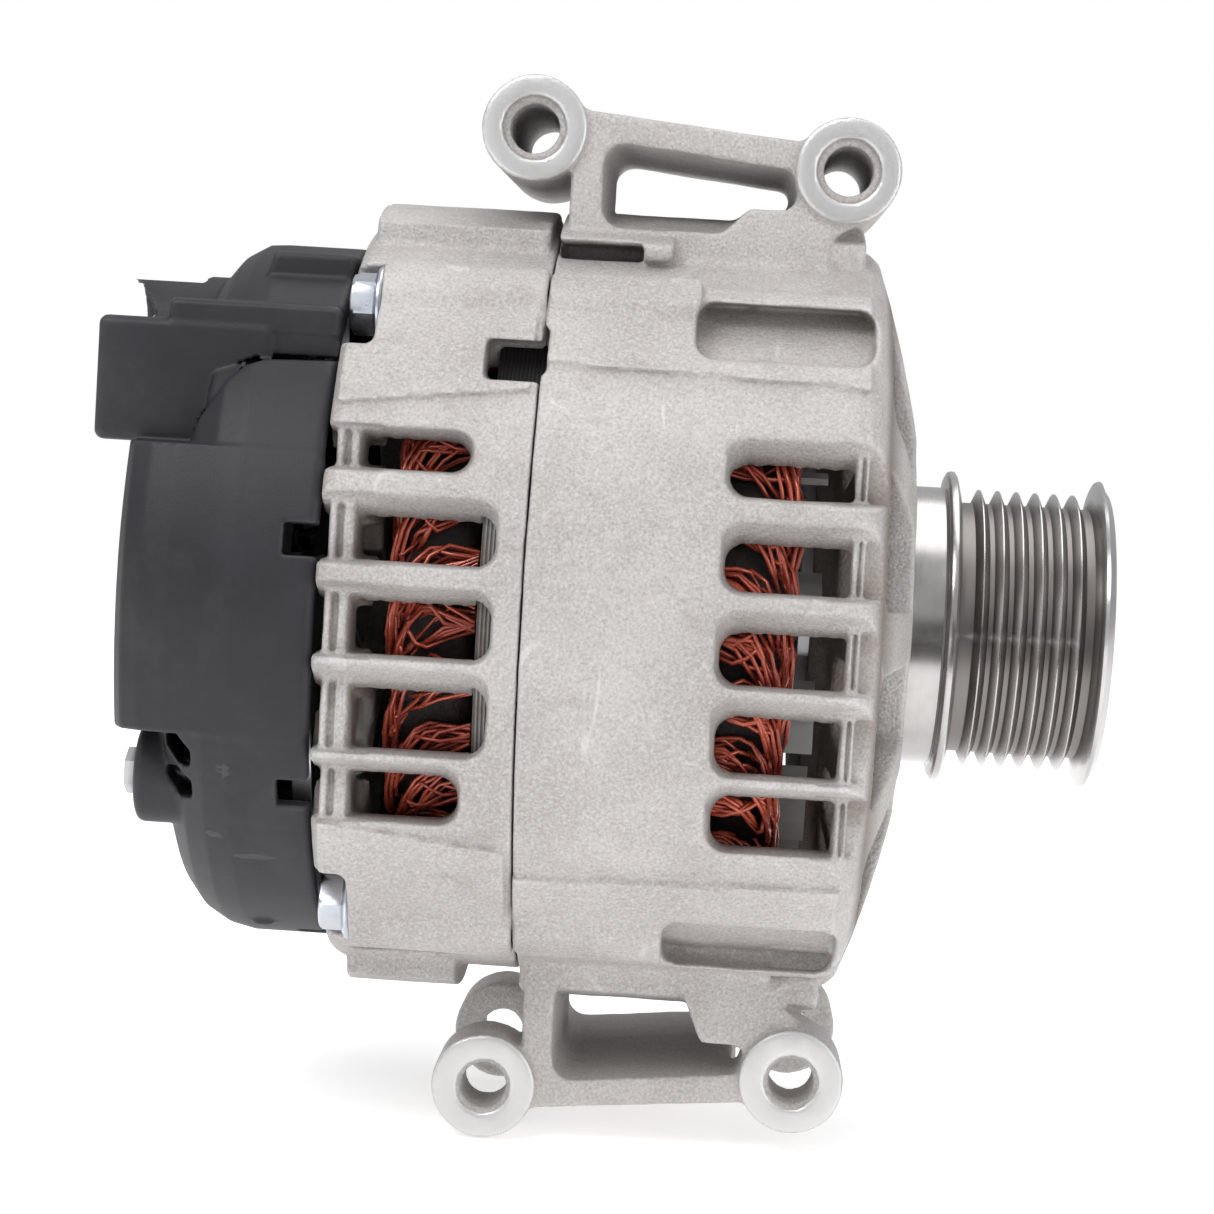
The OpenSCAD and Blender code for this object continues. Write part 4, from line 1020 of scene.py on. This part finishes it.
def sweepTree():
    # sweeps every path with a round wire and gives it a material
    tree, n, link, names = newTree("wireSweep", {"Wire radius": "Float", "Sides": "Int",
                                                 "Unevenness": "Float",
                                                 "Seed": "Int", "Material": "Material"})
    start, end = n("NodeGroupInput"), n("NodeGroupOutput")
    circle, sweep = n("GeometryNodeCurvePrimitiveCircle"), n("GeometryNodeCurveToMesh")
    noise, scaled = n("FunctionNodeRandomValue"), n("ShaderNodeMath")
    setRadius = n("GeometryNodeSetCurveRadius")
    smooth, real, paint = (n("GeometryNode" + k) for k in ("SetShadeSmooth", "RealizeInstances",
                                                           "SetMaterial"))
    scaled.operation = "MULTIPLY_ADD"
    scaled.inputs[2].default_value = 1.0
    sweep.inputs["Fill Caps"].default_value = True
    link(start.outputs["Wire radius"], circle.inputs["Radius"])
    link(start.outputs["Sides"], circle.inputs["Resolution"])
    link(start.outputs["Seed"], noise.inputs["Seed"])
    link(noise.outputs[1], scaled.inputs[0])
    link(start.outputs["Unevenness"], scaled.inputs[1])
    link(start.outputs["Geometry"], setRadius.inputs["Curve"])
    link(scaled.outputs[0], setRadius.inputs["Radius"])
    link(setRadius.outputs["Curve"], sweep.inputs["Curve"])
    link(circle.outputs["Curve"], sweep.inputs["Profile Curve"])
    link(sweep.outputs["Mesh"], smooth.inputs["Geometry"])
    link(smooth.outputs["Geometry"], real.inputs["Geometry"])
    link(real.outputs["Geometry"], paint.inputs["Geometry"])
    link(start.outputs["Material"], paint.inputs["Material"])
    link(paint.outputs["Geometry"], end.inputs["Geometry"])
    return tree, names


wireTree, wireInputs = sweepTree()


def sweptWires(name, paths, radius, sides, unevenness, seed, material):
    curve = bpy.data.curves.new(name + "Paths", "CURVE")
    curve.dimensions = "3D"
    for path in paths:
        spline = curve.splines.new("POLY")
        spline.points.add(len(path) - 1)
        spline.points.foreach_set("co", [v for p in path for v in (p[0] * mm, p[1] * mm, p[2] * mm, 1)])
        spline.points.foreach_set("radius", [1.0] * len(path))
    return throughTree(name, curve, wireTree, wireInputs,
                       {"Wire radius": radius * mm, "Sides": sides, "Seed": seed,
                                                           "Unevenness": unevenness, "Material": material})


winding = {"coils": 36, "strands": 15, "wire": 0.40, "span": 26.0, "steps": 16, "bundle": 4.6,
           "rear": (-96.9, -1, 16.2), "front": (-57.6, 1, 16.6), "outer": 59.2, "inner": 52.5, "seed": 11}


def polar(x, r, degrees):
    a = math.radians(degrees)
    return x, r * math.cos(a), r * math.sin(a)


def endTurnPaths():
    w, paths = winding, []
    rng = random.Random(w["seed"])
    for x0, way, reach in (w["rear"], w["front"]):
        for k in range(w["coils"]):
            lean = rng.uniform(-2.5, 2.5)
            height = reach * rng.uniform(0.86, 0.97)
            for strand in range(w["strands"]):
                phase, turns = rng.uniform(0, 6.28), rng.uniform(1.0, 2.4) * rng.choice((-1, 1))
                spread, tall = rng.uniform(0.5, 1.0), height * rng.uniform(0.90, 1.0)
                offset = rng.uniform(-1.2, 1.2)
                path = []
                for i in range(w["steps"] + 1):
                    t = i / w["steps"]
                    ease = t * t * (3 - 2 * t)
                    arch = math.sin(math.pi * t) ** 0.62
                    twist = phase + turns * 2 * math.pi * t
                    wide = w["bundle"] * spread * min(1, 0.35 + arch)
                    r = w["outer"] + (w["inner"] - w["outer"]) * ease + math.cos(twist) * wide * 0.7
                    sideways = (math.sin(twist) * wide + offset) / 56 * 57.3
                    angle = k * 10 + lean * arch + w["span"] * ease + sideways
                    x = x0 + way * max(0.2, tall * arch + math.sin(twist * 1.3) * 0.8 * arch)
                    path.append(polar(x, min(max(r, 50.2), 60.9), angle))
                paths.append(path)
    return paths


def boxMesh(points, faces, low, high, degrees):
    base = len(points)
    for x in (low[0], high[0]):
        for r in (low[1], high[1]):
            for w in (low[2], high[2]):
                a = math.radians(degrees)
                points.append((x, r * math.cos(a) - w * math.sin(a), r * math.sin(a) + w * math.cos(a)))
    for face in ((0, 1, 3, 2), (4, 6, 7, 5), (0, 4, 5, 1), (2, 3, 7, 6), (0, 2, 6, 4), (1, 5, 7, 3)):
        faces.append(tuple(base + i for i in face))


enamelled = finishes["enamelled_copper"]
wires = sweptWires("endWires", endTurnPaths(), winding["wire"], 5, 0.12, 5, enamelled)
finishPiece(wires, "casing", enamelled, "enamelled_copper", "stator_winding")


# near-black painted shade for the mass among the end-turn wires, with faint dark red varnish clumps
def windingShadeFill():
    f = Finish("windingShadeFill")
    clump = f.noise(300, 4, 0.6)
    colour = f.mix(clump.ramp(0.4, 0.75), (0.004, 0.003, 0.003), (0.028, 0.008, 0.006))
    return f.surface(colour=colour, rough=0.45 + clump * 0.2, normal=f.bump(clump, 0.0006, 0.8))


shadeFill = windingShadeFill()
# solid hearts under the end-turn wires, in the painted shade finish
for name, x0, x1 in (("rearWindingHeart", -112.0, -97.2), ("frontWindingHeart", -57.4, -42.4)):
    step = (x1 - x0) / 6
    profile = [(x0 + 0.8, 50.6), (x1 - 0.8, 50.6), (x1, 51.4), (x1, 54.5), (x1 - 1, 56.2), (x1 - step, 57.2),
               (x0 + step, 57.0),
               (x0 + 1, 55.6), (x0, 54.0), (x0, 51.6)]
    points, faces = latheMesh(profile, 144)
    if name == "rearWindingHeart":
        for k in range(36):
            boxMesh(points, faces, (-97.4, 50.6, -1.4), (-57.2, 58.4, 1.4), k * 10)
    heart = meshPiece(name, points, faces, 40)
    finishPiece(heart, "casing", shadeFill, "enamelled_copper", "stator_winding")
print("windings made")


# through bolts

bolt = {"tip": -68.0, "wall": -118.0, "shank": 2.95, "pitch": 1.0, "flange": 6.9, "flat": 5.0,
        "head": -123.75, "sides": 48}


def boltMesh():
    b, rings = bolt, []
    hexAt = [b["flat"] / max(math.cos((2 * math.pi * s / b["sides"]) % (math.pi / 3) - math.pi / 6), 0.5)
             for s in range(b["sides"])]
    rings.append((b["head"] + 0.9, [2.6] * b["sides"]))
    rings.append((b["head"] + 0.5, [3.4] * b["sides"]))
    for x, cap in ((b["head"], 4.7), (b["head"] + 0.25, 5.2), (b["head"] + 0.8, 6.0), (-119.6, 6.0)):
        rings.append((x, [min(h, cap) for h in hexAt]))
    for x, r in ((-119.35, 6.1), (-118.9, b["flange"] - 0.1), (-118.5, b["flange"]),
                 (b["wall"] - 0.02, b["flange"] - 0.15),
                 (b["wall"] - 0.02, b["shank"])):
        rings.append((x, [r] * b["sides"]))
    rings.append((-96, [b["shank"]] * b["sides"]))
    x, k = -95.6, 0
    while x < b["tip"] - 1:
        rings.append((x, [b["shank"] - (0.55 if k % 2 else 0.0)] * b["sides"]))
        x, k = x + b["pitch"] / 2, k + 1
    rings.append((b["tip"], [2.0] * b["sides"]))
    points, faces, n = [], [], b["sides"]
    for x, radii in rings:
        for s, r in enumerate(radii):
            a = 2 * math.pi * s / n
            points.append((x, r * math.cos(a), r * math.sin(a)))
    for i in range(len(rings) - 1):
        for s in range(n):
            t = (s + 1) % n
            faces.append((i * n + s, i * n + t, (i + 1) * n + t, (i + 1) * n + s))
    for at, order in ((0, range(n)), (len(rings) - 1, range(n - 1, -1, -1))):
        faces.append(tuple(at * n + s for s in order)[::-1])
    return meshPiece("boltModel", points, faces, 30)


def placedTree():
    # puts a copy of one model on every point, each turned a step more about x
    tree, n, link, names = newTree("placedCopies", {"Model": "Object", "Turn step": "Float",
                                                    "Material": "Material"})
    start, end, model = n("NodeGroupInput"), n("NodeGroupOutput"), n("GeometryNodeObjectInfo")
    place, index, times = n("GeometryNodeInstanceOnPoints"), n("GeometryNodeInputIndex"), n("ShaderNodeMath")
    turn, real = n("ShaderNodeCombineXYZ"), n("GeometryNodeRealizeInstances")
    paint = n("GeometryNodeSetMaterial")
    times.operation = "MULTIPLY"
    link(index.outputs[0], times.inputs[0])
    link(start.outputs["Turn step"], times.inputs[1])
    link(times.outputs[0], turn.inputs["X"])
    link(start.outputs["Model"], model.inputs["Object"])
    link(start.outputs["Geometry"], place.inputs["Points"])
    link(model.outputs["Geometry"], place.inputs["Instance"])
    link(turn.outputs[0], place.inputs["Rotation"])
    link(place.outputs["Instances"], real.inputs["Geometry"])
    link(real.outputs["Geometry"], paint.inputs["Geometry"])
    link(start.outputs["Material"], paint.inputs["Material"])
    link(paint.outputs["Geometry"], end.inputs["Geometry"])
    return tree, names


placeTree, placeInputs = placedTree()


def placedCopies(name, model, places, turnStep, material):
    mesh = bpy.data.meshes.new(name + "Points")
    mesh.from_pydata([tuple(v * mm for v in p) for p in places], [], [])
    piece = throughTree(name, mesh, placeTree, placeInputs,
                        {"Model": model, "Turn step": turnStep, "Material": material})
    bpy.data.objects.remove(model)
    smoothShade(piece, 30)
    return piece


zinc = finishes["zinc_steel"]
bolts = placedCopies("clampBolts", boltMesh(), [(0, y, z) for y, z in boltPlaces], 0.31, zinc)
finishPiece(bolts, "casing", zinc, "zinc_steel", "through_bolts")


# pulley rim

pulley = {"crest": 26.3, "root": 23.7, "pitch": 3.56, "bore": 17.0, "flange": 29.5, "collar": -21.1,
          "end": 17.0, "sides": 192}


def rimProfile():
    p = pulley
    line = [(p["collar"], p["bore"]), (p["collar"], 24.9), (p["collar"] + 0.5, 25.7),
            (p["collar"] + 1.1, 26.3), (-14.1, 26.3),
            (-13.75, 26.6), (-13.6, 27.4), (-13.6, p["flange"] - 0.9), (-13.2, p["flange"] - 0.15),
            (-12.7, p["flange"]),
            (-12.1, p["flange"] - 0.05), (-11.7, p["flange"] - 0.6), (-11.1, 26.5), (-10.9, p["root"])]
    for i in range(6):
        at = (i - 2) * p["pitch"]
        line += [(at - 1.35, p["root"]), (at - 1.2, p["root"] + 0.15), (at - 0.22, p["crest"] - 0.15),
                 (at - 0.1, p["crest"]),
                 (at + 0.1, p["crest"]), (at + 0.22, p["crest"] - 0.15), (at + 1.2, p["root"] + 0.15),
                 (at + 1.35, p["root"])]
    wide = 4 * p["pitch"] - 0.6
    line += [(wide - 0.1, p["root"]), (wide + 0.6, p["crest"] - 0.3), (wide + 1.0, p["flange"] - 1.2),
             (wide + 1.3, p["flange"] - 0.5),
             (wide + 1.9, p["flange"] - 0.25), (p["end"] - 1.9, p["flange"] - 0.55),
             (p["end"] - 1.5, p["flange"] - 0.85),
             (p["end"] - 0.15, p["flange"] - 2.5), (p["end"], p["flange"] - 2.9), (p["end"], p["bore"] + 4.1),
             (p["end"] - 0.4, p["bore"] + 4.0), (p["end"] - 3, p["bore"] + 4.0), (p["end"] - 3, p["bore"])]
    return line


points, faces = latheMesh(rimProfile(), pulley["sides"])
finishPiece(meshPiece("ribbedRim", points, faces, 28), "pulley", ribbedSteel(), "bright_steel", "pulley_rim")


# output stud

stud = {"y": -9.0, "z": 47.0, "tip": -165.0, "shoulder": -153.0, "foot": -131.9, "end": -128.6,
        "radius": 3.95, "pitch": 1.25,
        "sides": 40}


def studProfile():
    t = stud
    line = [(t["tip"], 0.3), (t["tip"], t["radius"] - 0.9), (t["tip"] + 0.6, t["radius"] - 0.4)]
    x = t["tip"] + 0.9
    while x < t["shoulder"] - 0.8:
        line += [(x, t["radius"] - 0.62), (x + 0.15, t["radius"] - 0.6), (x + t["pitch"] / 2, t["radius"]),
                 (x + t["pitch"] / 2 + 0.12, t["radius"])]
        x += t["pitch"]
    line += [(t["shoulder"], t["radius"] - 0.6), (t["shoulder"], 4.2), (t["shoulder"] + 0.3, 4.43),
             (t["foot"], 4.43),
             (t["foot"], 6.4), (t["foot"] + 0.4, 6.8), (t["end"] - 0.4, 6.8), (t["end"], 6.4),
             (t["end"], 0.3)]
    return line


points, faces = latheMesh(studProfile(), stud["sides"], (stud["y"], stud["z"]))
finishPiece(meshPiece("threadedStud", points, faces, 28), "casing", zinc, "zinc_steel", "output_stud")
print("bolts, pulley and stud made")


# brush springs

spring = {"foot": 23.45, "roof": 36.95, "radius": 1.72, "wire": 0.27, "turns": 9, "steps": 22, "keep": 0.95}


def springPath(x):
    g, path = spring, []
    low, high = g["foot"] + g["wire"], g["roof"] - g["wire"]
    for i in range(g["turns"] * g["steps"] + 1):
        t = i / (g["turns"] * g["steps"])
        rise = min(max((t - 0.09) / 0.82, 0), 1)  # flat end coils
        a = 2 * math.pi * g["turns"] * t
        z = low + 0.5 * min(t / 0.09, 1) + (high - low - 1.0) * rise + 0.5 * max((t - 0.91) / 0.09, 0)
        path.append((x + g["radius"] * math.cos(a), g["radius"] * math.sin(a), z))
    return path


for name, node, joint in (("innerSpringCoil", "inner_brush_spring", "inner_brush_slide"),
                          ("outerSpringCoil", "outer_brush_spring", "outer_brush_slide")):
    nodeLow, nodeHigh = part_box(node)
    at = (nodeLow.x + nodeHigh.x) / 2 / mm
    coil = sweptWires(name, [springPath(at)], spring["wire"], 8, 0.0, 1, zinc)
    finishPiece(coil, "casing", zinc, "zinc_steel", node)
    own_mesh(coil)
print("brush springs made")
